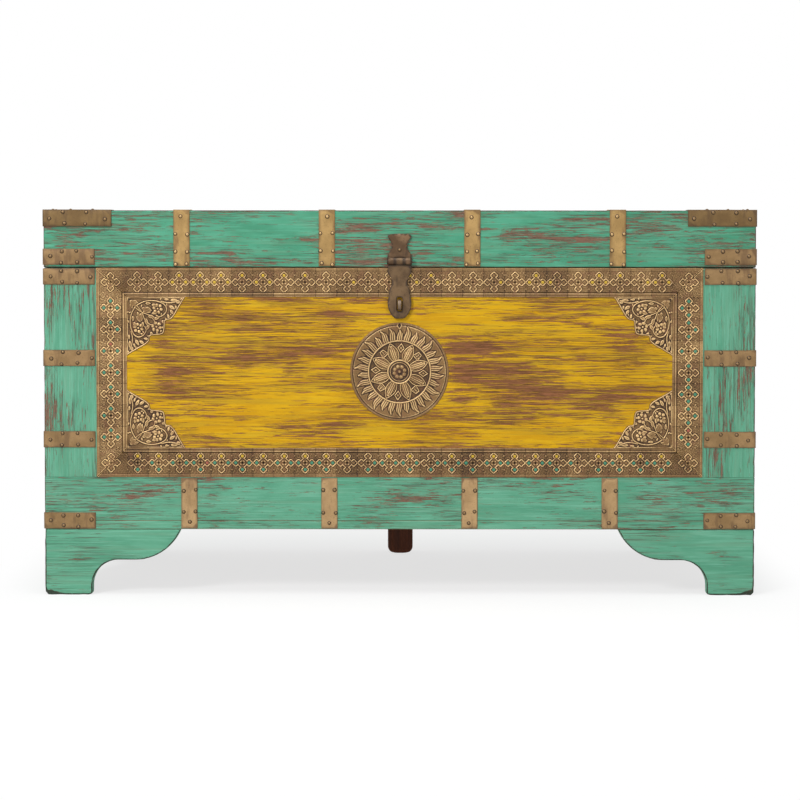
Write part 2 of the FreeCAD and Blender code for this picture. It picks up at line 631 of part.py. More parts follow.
longHeads = newBody("Heads_long", "-1.5 * lid_strap_pitch", "0", caseTop, keep=False)
places = [("0", "lid_height - tack_margin")]
places += [(f"{side} * tack_column", f"{share} * lid_height") for share in lidFrontTackShares for side in (1, -1)]
front = tacks(longHeads, "Front", "XZ_Plane", places, faceOut)
places = [(f"{side} * tack_column", f"{share} * case_depth") for share in lidTopTackShares for side in (1, -1)]
over = tacks(longHeads, "Over", "XY_Plane", places, "lid_height + strap_thickness")
places = [("0", "lid_height - lid_strap_tail + tack_margin")]
places += [(f"{side} * tack_column", "lid_height - lid_strap_tail / 2") for side in (1, -1)]
back = tacks(longHeads, "Back", "XZ_Plane", places, f"-{faceOut}", True)
repeat(longHeads, "LinearPattern", "Row", [front, over, back], "X_Axis", strapRows,
       f"({strapRows} - 1) * lid_strap_pitch")
domes(longHeads, (("y", f"-({faceOut} + tack_rise)"), ("y", f"{faceOut} + tack_rise"),
                  ("z", f"lid_height + {strapOuter}")))

# Caps on the lid's top corners fold over the top; plain straps bind its lower corners.
caps = []
lowStraps = []
capHeads = []
for corner, x, y, turn in corners:
    cap = newBody("Cap_" + corner, x, y, f"{lidTop} - strap_width", turn, keep=False)
    bend(cap, "cap_leg", "0", "strap_width + strap_thickness")
    outline = newSketch(cap, "TopPlan", "XY_Plane", "strap_width")
    polygon(outline, (("-strap_thickness", "-strap_thickness"), ("cap_leg", "-strap_thickness"),
                      ("cap_leg", "strap_width"), ("strap_width", "strap_width"), ("strap_width", "cap_leg"),
                      ("-strap_thickness", "cap_leg")))
    sweep(cap, "Pad", "Top", outline, "strap_thickness")
    caps.append(cap)
    strap = newBody("LowStrap_" + corner, x, y, f"{caseTop} + lid_corner_lift", turn, keep=False)
    bend(strap, "corner_strap_leg", "0", "strap_width")
    lowStraps.append(strap)
    heads = newBody("CapHeads_" + corner, x, y, f"{lidTop} - strap_width", turn, keep=False)
    legHeads(heads, "Cap", capTacks)
    topPlaces = [("0.5 * strap_width", "0.5 * strap_width")]
    for share in capTackShares:
        topPlaces += [(f"{share} * cap_leg + tack_column", "0.5 * strap_width"),
                      ("0.5 * strap_width", f"{share} * cap_leg + tack_column")]
    tacks(heads, "Top", "XY_Plane", topPlaces, "strap_width + strap_thickness")
    domes(heads, bothFaces + (("z", f"strap_width + {strapOuter}"),))
    lowHeads = newBody("LowHeads_" + corner, x, y, f"{caseTop} + lid_corner_lift", turn, keep=False)
    legHeads(lowHeads, "Low", legTacks)
    domes(lowHeads, bothFaces)
    capHeads += [heads, lowHeads]
group("lid_corner_caps", caps)
group("lid_corner_straps", lowStraps)
nail = newBody("HaspNail", "0", f"-{deep}", f"{haspHeight} + {nailShare} * hasp_plate_height", keep=False)
tacks(nail, "Head", "XZ_Plane", [("0", "0")], "hasp_plate_thickness")
domes(nail, (("y", "-(hasp_plate_thickness + tack_rise)"),))
group("lid_tacks", [longHeads] + capHeads + [nail])


# Hasp: three knuckles on one pin. Its pieces are drawn about the pin, with the wood at local +Y.
def boreAndBarrel(body, length, radius, pin):
    """A knuckle along X with the pin's bore through it."""
    ring = newSketch(body, "BarrelOutline", "YZ_Plane")
    circle(ring, "0", "0", radius)
    sweep(body, "Pad", "Barrel", ring, length, middle=True)
    hole = newSketch(body, "BoreOutline", "YZ_Plane")
    circle(hole, "0", "0", f"{pin} + pin_clearance")
    return hole


def notch(body, half_width, radius):
    """Room for the mate's knuckle between two of its own."""
    gap = newSketch(body, "NotchOutline", "XZ_Plane")
    clear = f"{radius} + turn_clearance / 2"
    rectangle(gap, f"-({half_width})", half_width, f"-({clear})", clear)
    sweep(body, "Pocket", "Notch", gap, f"4 * ({clear})", middle=True)


def mirrored(shares, across, along, sign):
    """Half an outline given as shares, then its mirror, as one closed run of points."""
    right = [(f"{a} * {across}", f"{sign * b} * {along}") for a, b in shares]
    left = [(f"{-a} * {across}", f"{sign * b} * {along}") for a, b in reversed(shares)]
    return right + left


plate = newBody("hasp_lid_plate", "0", f"-({haspFront})", haspHeight)
outline = newSketch(plate, "Outline", "XZ_Plane", "-hasp_axis_offset")
wing = "hasp_barrel_length / 2"
polygon(outline, [(f"-{wing}", "0"), (wing, "0")] + mirrored(plateShares, "hasp_plate_half", "hasp_plate_height", 1))
sweep(plate, "Pad", "Plate", outline, "hasp_plate_thickness")
hole = boreAndBarrel(plate, "hasp_barrel_length", "hasp_barrel_radius", "hasp_pin_radius")
notch(plate, "hasp_knuckle / 2 + knuckle_gap", "hasp_barrel_radius")
sweep(plate, "Pocket", "Bore", hole, "hasp_barrel_length + cut_overrun", middle=True)

tongue = newBody("hasp_tongue", "0", f"-({haspFront})", haspHeight)
tongueBack = f"hasp_axis_offset - ({brassThickness}) - tongue_clearance"
outline = newSketch(tongue, "Outline", "XZ_Plane", f"-({tongueBack})")
shoulder = "-(hasp_barrel_radius + turn_clearance)"
neck = "hasp_knuckle / 2"
polygon(outline, [(neck, "0"), (neck, shoulder), ("tongue_half", shoulder)]
        + mirrored(tongueShares, "tongue_half", "tongue_length", -1)
        + [("-tongue_half", shoulder), (f"-{neck}", shoulder), (f"-{neck}", "0")])
sweep(tongue, "Pad", "Plate", outline, "tongue_thickness")
hole = boreAndBarrel(tongue, "hasp_knuckle", "hasp_barrel_radius", "hasp_pin_radius")
sweep(tongue, "Pocket", "Bore", hole, "hasp_knuckle + 2 * cut_overrun", middle=True)
outline = newSketch(tongue, "SlotOutline", "XZ_Plane")
rectangle(outline, "-slot_width / 2", "slot_width / 2", "-(slot_top + slot_height)", "-slot_top")
sweep(tongue, "Pocket", "Slot", outline, "2 * hasp_axis_offset + cut_overrun", middle=True)
rounded(tongue, "SlotEnds", "slot_round",
        [{"x": f"{side} * slot_width / 2", "z": end} for side in (1, -1)
         for end in ("-slot_top", "-(slot_top + slot_height)")])


def pinAt(name, x, y, z, length, radius):
    """A pin along X, its middle at x, y, z."""
    pin = doc.addObject("Part::Cylinder", name)
    pin.Label = name
    bind(pin, "Radius", radius)
    bind(pin, "Height", length)
    pin.Placement = FreeCAD.Placement(vector(), FreeCAD.Rotation(vector(0, 1, 0), 90))
    for axis, text in zip("xyz", (f"{x} - {length} / 2", y, z)):
        bind(pin, f"Placement.Base.{axis}", text)
    return pin


nodes.append(pinAt("hasp_pin", "0", f"-({haspFront})", haspHeight, "hasp_barrel_length", "hasp_pin_radius"))

# Butt hinges at the back, pin level with the rim; the case has the outer knuckles.
hingeBack = "case_depth / 2 + hinge_axis_offset"


def leaf(name, x, sign, middleKnuckle):
    body = newBody(name, x, hingeBack, caseTop, keep=False)
    outline = newSketch(body, "Outline", "XZ_Plane", "hinge_axis_offset")
    reach = f"{sign} * hinge_leaf_height"
    clear = f"{sign} * (hinge_barrel_radius + turn_clearance)"
    wide = "hinge_width / 2"
    slim = "hinge_knuckle / 2"
    if middleKnuckle:
        polygon(outline, ((slim, "0"), (slim, clear), (wide, clear), (wide, reach), (f"-{wide}", reach),
                          (f"-{wide}", clear), (f"-{slim}", clear), (f"-{slim}", "0")))
    else:
        rectangle(outline, f"-{wide}", wide, reach, "0")
    sweep(body, "Pad", "Plate", outline, "hinge_leaf_thickness", True)
    length = "hinge_knuckle" if middleKnuckle else "hinge_width"
    hole = boreAndBarrel(body, length, "hinge_barrel_radius", "hinge_pin_radius")
    if not middleKnuckle:
        notch(body, "hinge_knuckle / 2 + knuckle_gap", "hinge_barrel_radius")
    sweep(body, "Pocket", "Bore", hole, f"{length} + 2 * cut_overrun", middle=True)
    return body


def screws(name, x, sign):
    body = newBody(name, x, f"{deep} + hinge_leaf_thickness", caseTop, keep=False)
    sketch = newSketch(body, "Places", "XZ_Plane")
    for side in (1, -1):
        for drop in ("screw_drop", "(screw_drop + screw_step)"):
            circle(sketch, f"{side} * screw_column", f"{sign} * {drop}", "screw_radius")
    sweep(body, "Pad", "Heads", sketch, "screw_rise", True)
    return body


hinges = (("Left", "-hinge_spread / 2"), ("Right", "hinge_spread / 2"))
group("hinge_case_leaves", [leaf("CaseLeaf" + side, x, -1, False) for side, x in hinges])
group("hinge_lid_leaves", [leaf("LidLeaf" + side, x, 1, True) for side, x in hinges])
group("hinge_pins", [pinAt("HingePin" + side, x, hingeBack, caseTop, "hinge_width", "hinge_pin_radius")
                     for side, x in hinges])
group("hinge_case_screws", [screws("CaseScrews" + side, x, -1) for side, x in hinges])
group("hinge_lid_screws", [screws("LidScrews" + side, x, 1) for side, x in hinges])

doc.recompute()
faults = [f"{item.Label}: {item.State}" for item in doc.Objects if {"Invalid", "Error"} & set(item.State)]
for node in nodes:
    if node.Shape.isNull() or not node.Shape.isValid() or not node.Shape.Solids:
        faults.append(f"{node.Label}: no valid shape")
if faults:
    raise RuntimeError("; ".join(faults))

os.makedirs("parts", exist_ok=True)
for node in nodes:
    node.Shape.exportStep(os.path.join("parts", node.Label + ".step"))
    box = node.Shape.BoundBox
    print(f"{node.Label}: {len(node.Shape.Solids)} solids, {node.Shape.Volume:.0f} mm3, "
          f"x {box.XMin:.1f} {box.XMax:.1f}, y {box.YMin:.1f} {box.YMax:.1f}, z {box.ZMin:.1f} {box.ZMax:.1f}")
print(len(nodes), "nodes")
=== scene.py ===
import math

import bmesh
import bpy
import numpy as np
from mathutils import Euler, Matrix, Vector, kdtree, noise


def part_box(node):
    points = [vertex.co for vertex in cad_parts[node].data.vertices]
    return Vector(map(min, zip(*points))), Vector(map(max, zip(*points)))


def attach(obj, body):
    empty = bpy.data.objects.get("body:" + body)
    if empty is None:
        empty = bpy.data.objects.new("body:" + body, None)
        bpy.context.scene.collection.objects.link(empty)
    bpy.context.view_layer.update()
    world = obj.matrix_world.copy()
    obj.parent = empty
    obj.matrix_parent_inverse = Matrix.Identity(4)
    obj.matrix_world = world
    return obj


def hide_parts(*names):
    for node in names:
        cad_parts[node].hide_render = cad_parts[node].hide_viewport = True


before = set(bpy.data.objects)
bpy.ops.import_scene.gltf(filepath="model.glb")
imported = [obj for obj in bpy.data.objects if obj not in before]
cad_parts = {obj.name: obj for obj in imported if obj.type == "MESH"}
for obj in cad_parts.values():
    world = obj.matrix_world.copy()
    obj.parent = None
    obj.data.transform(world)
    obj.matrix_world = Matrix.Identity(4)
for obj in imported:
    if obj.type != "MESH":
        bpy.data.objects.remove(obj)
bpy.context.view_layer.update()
scene = bpy.context.scene
mm = 0.001
print("frame loaded,", len(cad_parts), "nodes")


def tone(red, green, blue):
    levels = []
    for value in (red, green, blue):  # from screen values to linear light
        share = value / 255
        levels.append(share / 12.92 if share <= 0.04045 else ((share + 0.055) / 1.055) ** 2.4)
    return (*levels, 1.0)


# Node helpers, for materials and for geometry trees alike
def addNode(tree, kind, inputs=None, **settings):
    made = tree.nodes.new(kind)
    for key, value in settings.items():
        setattr(made, key, value)
    for key, value in (inputs or {}).items():
        if isinstance(value, bpy.types.NodeSocket):
            tree.links.new(value, made.inputs[key])
        else:
            made.inputs[key].default_value = value
    return made


def calc(tree, operation, *values):
    return addNode(tree, "ShaderNodeMath", dict(enumerate(values)), operation=operation).outputs[0]


def times(tree, *values):
    return calc(tree, "MULTIPLY", *values)


def timesPlus(tree, *values):  # the first times the second, plus the third
    return calc(tree, "MULTIPLY_ADD", *values)


def swing(tree, value, gain, onto):  # a noise about its middle, times a gain, added onto a value
    return timesPlus(tree, calc(tree, "SUBTRACT", value, 0.5), gain, onto)


def ramp(tree, value, low, high):
    ends = {"Value": value, "From Min": low, "From Max": high}
    return addNode(tree, "ShaderNodeMapRange", ends, interpolation_type="SMOOTHSTEP").outputs[0]


def blendTones(tree, share, first, second):
    return addNode(tree, "ShaderNodeMix", {0: share, 6: first, 7: second}, data_type="RGBA").outputs[2]


def laid(tree, mask, share, under, over):  # one tone over another, where a mask says, at a share
    return blendTones(tree, times(tree, mask, share), under, over)


def grainNoise(tree, place, scale, detail, roughness):
    ends = {"Vector": place, "Scale": scale, "Detail": detail, "Roughness": roughness}
    return addNode(tree, "ShaderNodeTexNoise", ends).outputs[0]


def stretched(tree, place, scale, shift=(0, 0, 0)):
    return addNode(tree, "ShaderNodeMapping", {"Vector": place, "Scale": scale, "Location": shift}).outputs[0]


def newMaterial(name, shine):
    material = bpy.data.materials.new(name)
    material.use_nodes = True
    tree = material.node_tree
    shader = tree.nodes["Principled BSDF"]
    for key, value in shine.items():
        shader.inputs[key].default_value = value
    place = addNode(tree, "ShaderNodeTexCoord").outputs["Object"]
    return material, tree, shader, place


def attributeOf(tree, name):
    return addNode(tree, "ShaderNodeAttribute", attribute_name=name).outputs["Fac"]


def bumped(tree, shader, height, distance, strength):
    bump = addNode(tree, "ShaderNodeBump", {"Height": height, "Distance": distance, "Strength": strength})
    tree.links.new(bump.outputs[0], shader.inputs["Normal"])


def linked(tree, shader, **sockets):
    for key, value in sockets.items():
        tree.links.new(value, shader.inputs[key.replace("_", " ")])


# Worn paint: colours, then marks as (along, across) counts per metre of grain
paintLooks = {
    "teal": {
        "paint": tone(98, 166, 136), "pale": tone(121, 186, 158), "deep": tone(83, 152, 122),
        "wash": tone(118, 150, 124), "washCover": 0.26, "washes": (6, 130),
        "scar": tone(136, 98, 80), "scarDark": tone(84, 62, 52), "wood": tone(104, 80, 64),
        "patches": (5, 16), "patchGain": 0.42, "rubGain": 0.085,
        "dashes": (26, 640), "dashLimit": 0.600, "flakes": (19, 250), "flakeLimit": 0.605,
        "hairs": (5, 260), "hairWidth": 0.034, "gloss": 0.3,
    },
    "mustard": {
        "paint": tone(214, 165, 18), "pale": tone(227, 183, 32), "deep": tone(201, 149, 16),
        "wash": tone(168, 142, 44), "washCover": 0.40, "washes": (5, 140),
        "scar": tone(150, 98, 66), "scarDark": tone(98, 64, 40), "wood": tone(96, 68, 42),
        "patches": (6, 24), "patchGain": 0.30, "rubGain": 0.075,
        "dashes": (15, 600), "dashLimit": 0.572, "flakes": (11, 215), "flakeLimit": 0.590,
        "hairs": (6, 330), "hairWidth": 0.06, "gloss": 0.16,
    },
}
# The lid's paint: the same teal, darker, as painted shade
paintLooks["lidTeal"] = dict(
    paintLooks["teal"], paint=tone(80, 160, 128), pale=tone(102, 178, 148), deep=tone(66, 142, 110),
    wash=tone(112, 138, 110),
)
# What all the paints share: marks as above, chips along the edges, how well each mark covers, the wood below,
# and a painted shade at the arris
woodLook = {
    "fine": (60, 640), "mottle": (9, 40), "streak": (11, 300), "chips": 60.0, "chipGain": 0.9,
    "paleCover": 0.55, "dashCover": 0.86, "flakeCover": 0.92, "crackCover": 0.62, "wornCover": 0.9,
    "arris": tone(40, 27, 21), "bareDark": tone(96, 70, 50), "bareLight": tone(140, 106, 76),
    "roughness": 0.54, "bareRoughness": 0.2, "bump": (0.6 * mm, 0.8),
}


def paintedWood(name, look, grain):
    along = "XYZ".index(grain)
    material, tree, shader, place = newMaterial(name, {"Specular IOR Level": look["gloss"]})

    def marks(pair, shift, detail, roughness=0.6):
        scale = [pair[1]] * 3
        scale[along] = pair[0]
        return grainNoise(tree, stretched(tree, place, scale, shift), 1.0, detail, roughness)

    patch = marks(look["patches"], (0, 0, 0), 3.0)
    bias = swing(tree, patch, look["patchGain"], times(tree, attributeOf(tree, "rub"), look["rubGain"]))
    fine = marks(woodLook["fine"], (2, 5, 1), 3.0)
    limit = look["dashLimit"]
    dash = calc(tree, "ADD", marks(look["dashes"], (1, 0, 3), 5.0, 0.7), bias)
    dash = ramp(tree, dash, limit, limit + 0.02)
    limit = look["flakeLimit"]
    field = calc(tree, "ADD", marks(look["flakes"], (4, 1, 2), 6.0, 0.76), bias)
    flake = ramp(tree, field, limit, limit + 0.012)
    deepFlake = ramp(tree, field, limit + 0.03, limit + 0.12)
    gap = calc(tree, "ABSOLUTE", calc(tree, "SUBTRACT", marks(look["hairs"], (3, 1, 2), 2.0, 0.5), 0.5))
    crack = times(tree, ramp(tree, gap, look["hairWidth"], 0.0), ramp(tree, patch, 0.42, 0.54))
    mottle = marks(woodLook["mottle"], (7, 3, 5), 4.0)
    streak = marks(woodLook["streak"], (2, 6, 4), 5.0)
    wash = timesPlus(tree, bias, 0.5, marks(look["washes"], (6, 2, 8), 4.0))
    paint = blendTones(tree, ramp(tree, mottle, 0.36, 0.62), look["deep"], look["paint"])
    paint = laid(tree, ramp(tree, streak, 0.48, 0.66), woodLook["paleCover"], paint, look["pale"])
    paint = laid(tree, ramp(tree, wash, 0.47, 0.62), look["washCover"], paint, look["wash"])
    edge = attributeOf(tree, "edge")
    chips = grainNoise(tree, place, woodLook["chips"], 4.0, 0.65)
    worn = ramp(tree, timesPlus(tree, chips, woodLook["chipGain"], edge), 1.08, 1.22)
    scarTone = blendTones(tree, deepFlake, look["scar"], look["scarDark"])
    scarTone = blendTones(tree, ramp(tree, fine, 0.36, 0.62), scarTone, look["scar"])
    dashTone = blendTones(tree, ramp(tree, fine, 0.4, 0.56), look["scarDark"], look["scar"])
    shown = laid(tree, dash, woodLook["dashCover"], paint, dashTone)
    shown = laid(tree, flake, woodLook["flakeCover"], shown, scarTone)
    shown = laid(tree, crack, woodLook["crackCover"], shown, look["scarDark"])
    woodTone = blendTones(tree, ramp(tree, fine, 0.34, 0.66), look["scarDark"], look["wood"])
    woodTone = blendTones(tree, ramp(tree, edge, 0.68, 0.88), woodTone, woodLook["arris"])  # darkest at the arris: painted shade of the edge face over the worn wood
    shown = laid(tree, worn, woodLook["wornCover"], shown, woodTone)
    bareTone = blendTones(tree, ramp(tree, streak, 0.3, 0.7), woodLook["bareDark"], woodLook["bareLight"])
    shown = blendTones(tree, attributeOf(tree, "inside"), shown, bareTone)
    bare = calc(tree, "MAXIMUM", flake, worn)
    roughness = timesPlus(tree, bare, woodLook["bareRoughness"], woodLook["roughness"])
    linked(tree, shader, Base_Color=shown, Roughness=roughness)
    low = timesPlus(tree, bare, -0.7, times(tree, fine, 0.35))
    low = timesPlus(tree, dash, -0.3, low)
    bumped(tree, shader, timesPlus(tree, crack, -0.6, low), *woodLook["bump"])
    return material


def bareWood(name, light, dark, grain, roughness=0.75):
    along = "XYZ".index(grain)
    material, tree, shader, place = newMaterial(name, {"Specular IOR Level": 0.3})
    scale = [90] * 3  # rings per metre across the grain, and along it
    scale[along] = 5
    rings = grainNoise(tree, stretched(tree, place, scale), 1.0, 5.0, 0.6)
    pores = grainNoise(tree, stretched(tree, place, [value * 5 for value in scale]), 1.0, 2.0, 0.5)
    shown = blendTones(tree, ramp(tree, rings, 0.32, 0.68), dark, light)
    shown = laid(tree, ramp(tree, pores, 0.6, 0.7), 0.5, shown, dark)
    shown = laid(tree, attributeOf(tree, "edge"), 0.35, shown, light)
    linked(tree, shader, Base_Color=shown, Roughness=timesPlus(tree, rings, 0.15, roughness - 0.08))
    bumped(tree, shader, calc(tree, "SUBTRACT", rings, times(tree, pores, 0.4)), 0.4 * mm, 0.6)
    return material


# Aged metal: body tone with a mottle, stains and flecks, and darker along its rim as painted shade, which
# starts at a share of the edge's reach
def metalLook(body, light, rim, metallic=0.35, rimFrom=0.5):
    tones = {"body": tone(*body), "light": tone(*light), "rim": tone(*rim)}
    return dict(tones, metallic=metallic, rimFrom=rimFrom, roughness=0.38)


metalLooks = {
    "lidBrass": metalLook((158, 126, 74), (184, 149, 92), (92, 64, 38)),
    "apronBrass": metalLook((164, 132, 90), (186, 152, 107), (92, 64, 44)),
    "cornerBrass": metalLook((135, 106, 66), (157, 125, 83), (84, 58, 38)),
    "capBrass": metalLook((108, 82, 44), (126, 99, 58), (74, 52, 32)),
    "haspPlateIron": metalLook((84, 60, 35), (126, 97, 68), (40, 28, 20), rimFrom=0.25),
    "haspIron": metalLook((82, 60, 35), (118, 92, 62), (40, 28, 20), rimFrom=0.3),
    "stapleIron": metalLook((126, 104, 82), (176, 154, 128), (76, 58, 42), metallic=0.4),
    "hingeIron": metalLook((84, 70, 60), (104, 90, 78), (54, 42, 36), metallic=0.45),
}


def agedMetalRimShaded(name, look):
    material, tree, shader, place = newMaterial(name, {"Metallic": look["metallic"]})
    cloud = grainNoise(tree, place, 26.0, 4.0, 0.6)
    stain = grainNoise(tree, stretched(tree, place, (70, 70, 18)), 1.0, 3.0, 0.6)
    fleck = grainNoise(tree, place, 420.0, 3.0, 0.6)
    shown = blendTones(tree, ramp(tree, cloud, 0.36, 0.64), look["body"], look["light"])
    shown = laid(tree, ramp(tree, stain, 0.5, 0.68), 0.5, shown, look["rim"])
    shown = laid(tree, ramp(tree, fleck, 0.56, 0.7), 0.4, shown, look["rim"])
    edge = swing(tree, cloud, 0.8, attributeOf(tree, "edge"))
    start = look["rimFrom"]
    # painted shade along the rim
    shown = laid(tree, ramp(tree, edge, start, start + 0.5), 0.75, shown, look["rim"])
    linked(tree, shader, Base_Color=shown, Roughness=timesPlus(tree, cloud, 0.24, look["roughness"]))
    bumped(tree, shader, timesPlus(tree, fleck, 0.25, cloud), 0.8 * mm, 0.35)
    return material


# Embossed brass: the attribute lift runs from 0 in the hollows to 1 on the crests; its dark hollows and
# bright crests are partly patina and polish, partly painted shade and painted highlight
embossLook = {
    "hollow": tone(50, 29, 12), "ground": tone(132, 100, 59), "crest": tone(224, 187, 130),
    "rust": tone(128, 82, 58), "teal": tone(54, 140, 112), "yellow": tone(206, 170, 52),
    "red": tone(164, 88, 72),
}
paintColours = ("teal", "yellow", "red")  # what is left of the paint in the cells of the bands


def embossedBrass(name, look):
    material, tree, shader, place = newMaterial(name, {"Metallic": 0.35})
    lift = attributeOf(tree, "lift")
    cloud = grainNoise(tree, place, 22.0, 5.0, 0.65)
    fleck = grainNoise(tree, place, 600.0, 3.0, 0.6)
    # patina and grime mixed with painted shade in the hollows and painted highlight on the crests
    shadeAndGrime = swing(tree, fleck, 0.45, swing(tree, cloud, 0.7, lift))
    shown = blendTones(tree, ramp(tree, shadeAndGrime, 0.05, 0.5), look["hollow"], look["ground"])
    shown = blendTones(tree, ramp(tree, shadeAndGrime, 0.5, 0.95), shown, look["crest"])
    rust = grainNoise(tree, place, 90.0, 4.0, 0.6)
    shown = laid(tree, ramp(tree, rust, 0.5, 0.66), 0.3, shown, look["rust"])
    for colour in paintColours:
        spot = ramp(tree, swing(tree, fleck, 0.9, attributeOf(tree, colour)), 0.35, 0.7)
        shown = laid(tree, spot, 0.85, shown, look[colour])
    linked(tree, shader, Base_Color=shown, Roughness=timesPlus(tree, lift, -0.16, 0.56))
    bumped(tree, shader, fleck, 0.3 * mm, 0.4)
    return material


# Tacks: a painted shade around the foot of each dome and a painted highlight on its crown, and brighter domes
# on the straps near the middle of the lid
def tackBrass(name):
    material, tree, shader, place = newMaterial(name, {"Metallic": 0.45, "Roughness": 0.42})
    crown = attributeOf(tree, "crown")
    fleck = grainNoise(tree, place, 500.0, 2.0, 0.5)
    dull = attributeOf(tree, "dull")
    dome = blendTones(tree, dull, tone(164, 131, 84), tone(120, 93, 58))
    shine = blendTones(tree, dull, tone(196, 163, 110), tone(138, 110, 72))
    # painted shade at the dome's foot, painted highlight towards its crown
    shown = blendTones(tree, ramp(tree, crown, 0.24, 0.56), tone(40, 27, 18), dome)
    shown = blendTones(tree, ramp(tree, crown, 0.7, 0.98), shown, shine)
    shown = laid(tree, ramp(tree, fleck, 0.5, 0.7), 0.35, shown, tone(90, 64, 44))
    linked(tree, shader, Base_Color=shown)
    bumped(tree, shader, fleck, 0.3 * mm, 0.4)
    return material


materials = {
    "tealX": paintedWood("teal_paint_level", paintLooks["teal"], "X"),
    "lidX": paintedWood("lid_teal_shaded_level", paintLooks["lidTeal"], "X"),
    "lidY": paintedWood("lid_teal_shaded_deep", paintLooks["lidTeal"], "Y"),
    "tealY": paintedWood("teal_paint_deep", paintLooks["teal"], "Y"),
    "tealZ": paintedWood("teal_paint_upright", paintLooks["teal"], "Z"),
    "mustard": paintedWood("mustard_paint", paintLooks["mustard"], "X"),
    "darkWood": bareWood("dark_stained_wood", tone(140, 84, 58), tone(94, 54, 38), "Z", 0.6),
    "oldWoodX": bareWood("old_wood_level", tone(146, 112, 80), tone(96, 70, 50), "X"),
    "oldWoodY": bareWood("old_wood_deep", tone(146, 112, 80), tone(96, 70, 50), "Y"),
    "embossed": embossedBrass("embossed_brass_sheet", embossLook),
    "tacks": tackBrass("tack_heads"),
}
for metal, look in metalLooks.items():
    materials[metal] = agedMetalRimShaded(metal, look)
print("materials made:", len(materials))


# Mesh helpers
def newPiece(name, data):
    piece = bpy.data.objects.new(name, data)
    scene.collection.objects.link(piece)
    return piece


def meshPiece(name, points, faces):
    mesh = bpy.data.meshes.new(name)
    mesh.from_pydata([tuple(point) for point in points], [], [tuple(face) for face in faces])
    return newPiece(name, mesh)


def readValues(items, key, wide=1):
    flat = np.zeros(len(items) * wide, np.float32)
    items.foreach_get(key, flat)
    return flat.astype(float)


def pointsOf(mesh):
    return readValues(mesh.vertices, "co", 3).reshape(-1, 3)


def normalsOf(mesh):
    return readValues(mesh.vertex_normals, "vector", 3).reshape(-1, 3)


def setPoints(mesh, points):
    mesh.vertices.foreach_set("co", points.astype(np.float32).ravel())
    mesh.update()


def addAttribute(mesh, name, values):
    attribute = mesh.attributes.get(name) or mesh.attributes.new(name, "FLOAT", "POINT")
    attribute.data.foreach_set("value", np.asarray(values, np.float32))


def openShape(mesh, weld=0):
    shape = bmesh.new()
    shape.from_mesh(mesh)
    if weld:
        bmesh.ops.remove_doubles(shape, verts=shape.verts, dist=weld)
    return shape


def closeShape(shape, mesh):
    shape.to_mesh(mesh)
    shape.free()


def finished(piece, material, body, nodes):
    piece.data.materials.clear()
    piece.data.materials.append(material)
    piece.data.shade_smooth()
    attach(piece, body)
    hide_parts(*nodes)
    return piece


def bakeModifiers(piece):
    graph = bpy.context.evaluated_depsgraph_get()
    graph.update()
    shown = piece.evaluated_get(graph)
    mesh = bpy.data.meshes.new_from_object(shown, preserve_all_data_layers=True, depsgraph=graph)
    piece.modifiers.clear()
    piece.data = mesh
    return piece


def waves(points, scale, seed):
    shift = Vector((seed * 3.7, seed * 1.3, seed * 2.1))
    return np.array([noise.noise(Vector(point) * scale + shift) for point in points])


# Boards: squared timber with softened arrises, dents and chips
weld = 0.001 * mm  # points closer than this are one
sheetWeld = 0.02 * mm
boardLook = {
    "round": 0.8 * mm, "step": 9 * mm, "nearCuts": (2.2 * mm, 4.2 * mm, 8 * mm),
    "sway": 0.35 * mm, "swayShare": 0.6, "dent": 0.9 * mm, "chip": 2.6 * mm, "chipFloor": 0.05,
    "waveCounts": (9.0, 55.0, 34.0),  # sway, dents and chips, per metre
    "edgeReach": 4.4 * mm, "cornerReach": 11 * mm, "faceReach": 0.6 * mm,
    "lidGap": 1.0 * mm, "partingRise": 2 * mm, "partingDepth": 8 * mm,
}

# Places rubbed bare: x, z, then how far they reach along x and z, in millimetres
rubs = {
    "lid_front_board": (
        (-415, 593, 34, 7), (-538, 571, 12, 9), (-279, 574, 40, 7), (-146, 571, 46, 8), (-63, 593, 34, 7),
        (81, 590, 40, 8), (185, 577, 44, 8), (281, 600, 34, 7), (409, 584, 44, 9), (510, 574, 30, 8),
    ),
    "front_bottom_rail": (
        (-177, 138, 44, 9), (4, 161, 40, 9), (39, 153, 50, 12), (249, 163, 46, 9), (-409, 163, 40, 9),
        (420, 150, 30, 8),
    ),
    "front_field_panel": (
        (-258, 446, 80, 10), (-110, 443, 70, 14), (-362, 422, 30, 14), (-370, 350, 40, 30),
        (-206, 379, 100, 20), (-122, 351, 40, 8), (-326, 298, 70, 12), (-127, 265, 80, 12),
        (-313, 249, 60, 8), (122, 400, 60, 14),
        (98, 347, 25, 60), (186, 339, 70, 30), (266, 315, 80, 20), (274, 449, 90, 12), (338, 290, 30, 30),
        (362, 414, 30, 20), (10, 465, 70, 14), (0, 240, 420, 7), (0, 476, 420, 6),
    ),
    "front_left_foot_front": ((-513, 57, 16, 14), (-422, 99, 34, 6)),
    "front_right_foot_front": ((513, 68, 18, 14), (420, 95, 34, 6)),
}
wornAll = {"lid_front_board": 0.2, "front_left_foot_front": -0.9, "front_right_foot_front": -0.5}
wornRange = (-1.5, 1.2)


def rubbed(points, node):
    total = np.full(len(points), wornAll.get(node, 0.0))
    for x, z, reachX, reachZ in rubs.get(node, ()):
        away = ((points[:, 0] / mm - x) / reachX) ** 2 + ((points[:, 2] / mm - z) / reachZ) ** 2
        total += np.exp(-away)
    return np.clip(total, *wornRange)


def gridCuts(low, high, look):
    length = high - low
    near = [0, 0.5 * look["round"], look["round"], *look["nearCuts"]]
    near = [value for value in near if value < length * 0.45]  # a thin board takes fewer
    count = max(1, round((length - 2 * near[-1]) / look["step"]))
    inner = np.linspace(near[-1], length - near[-1], count + 1)[1:-1]
    return low + np.concatenate([near, inner, length - np.array(near)[::-1]])


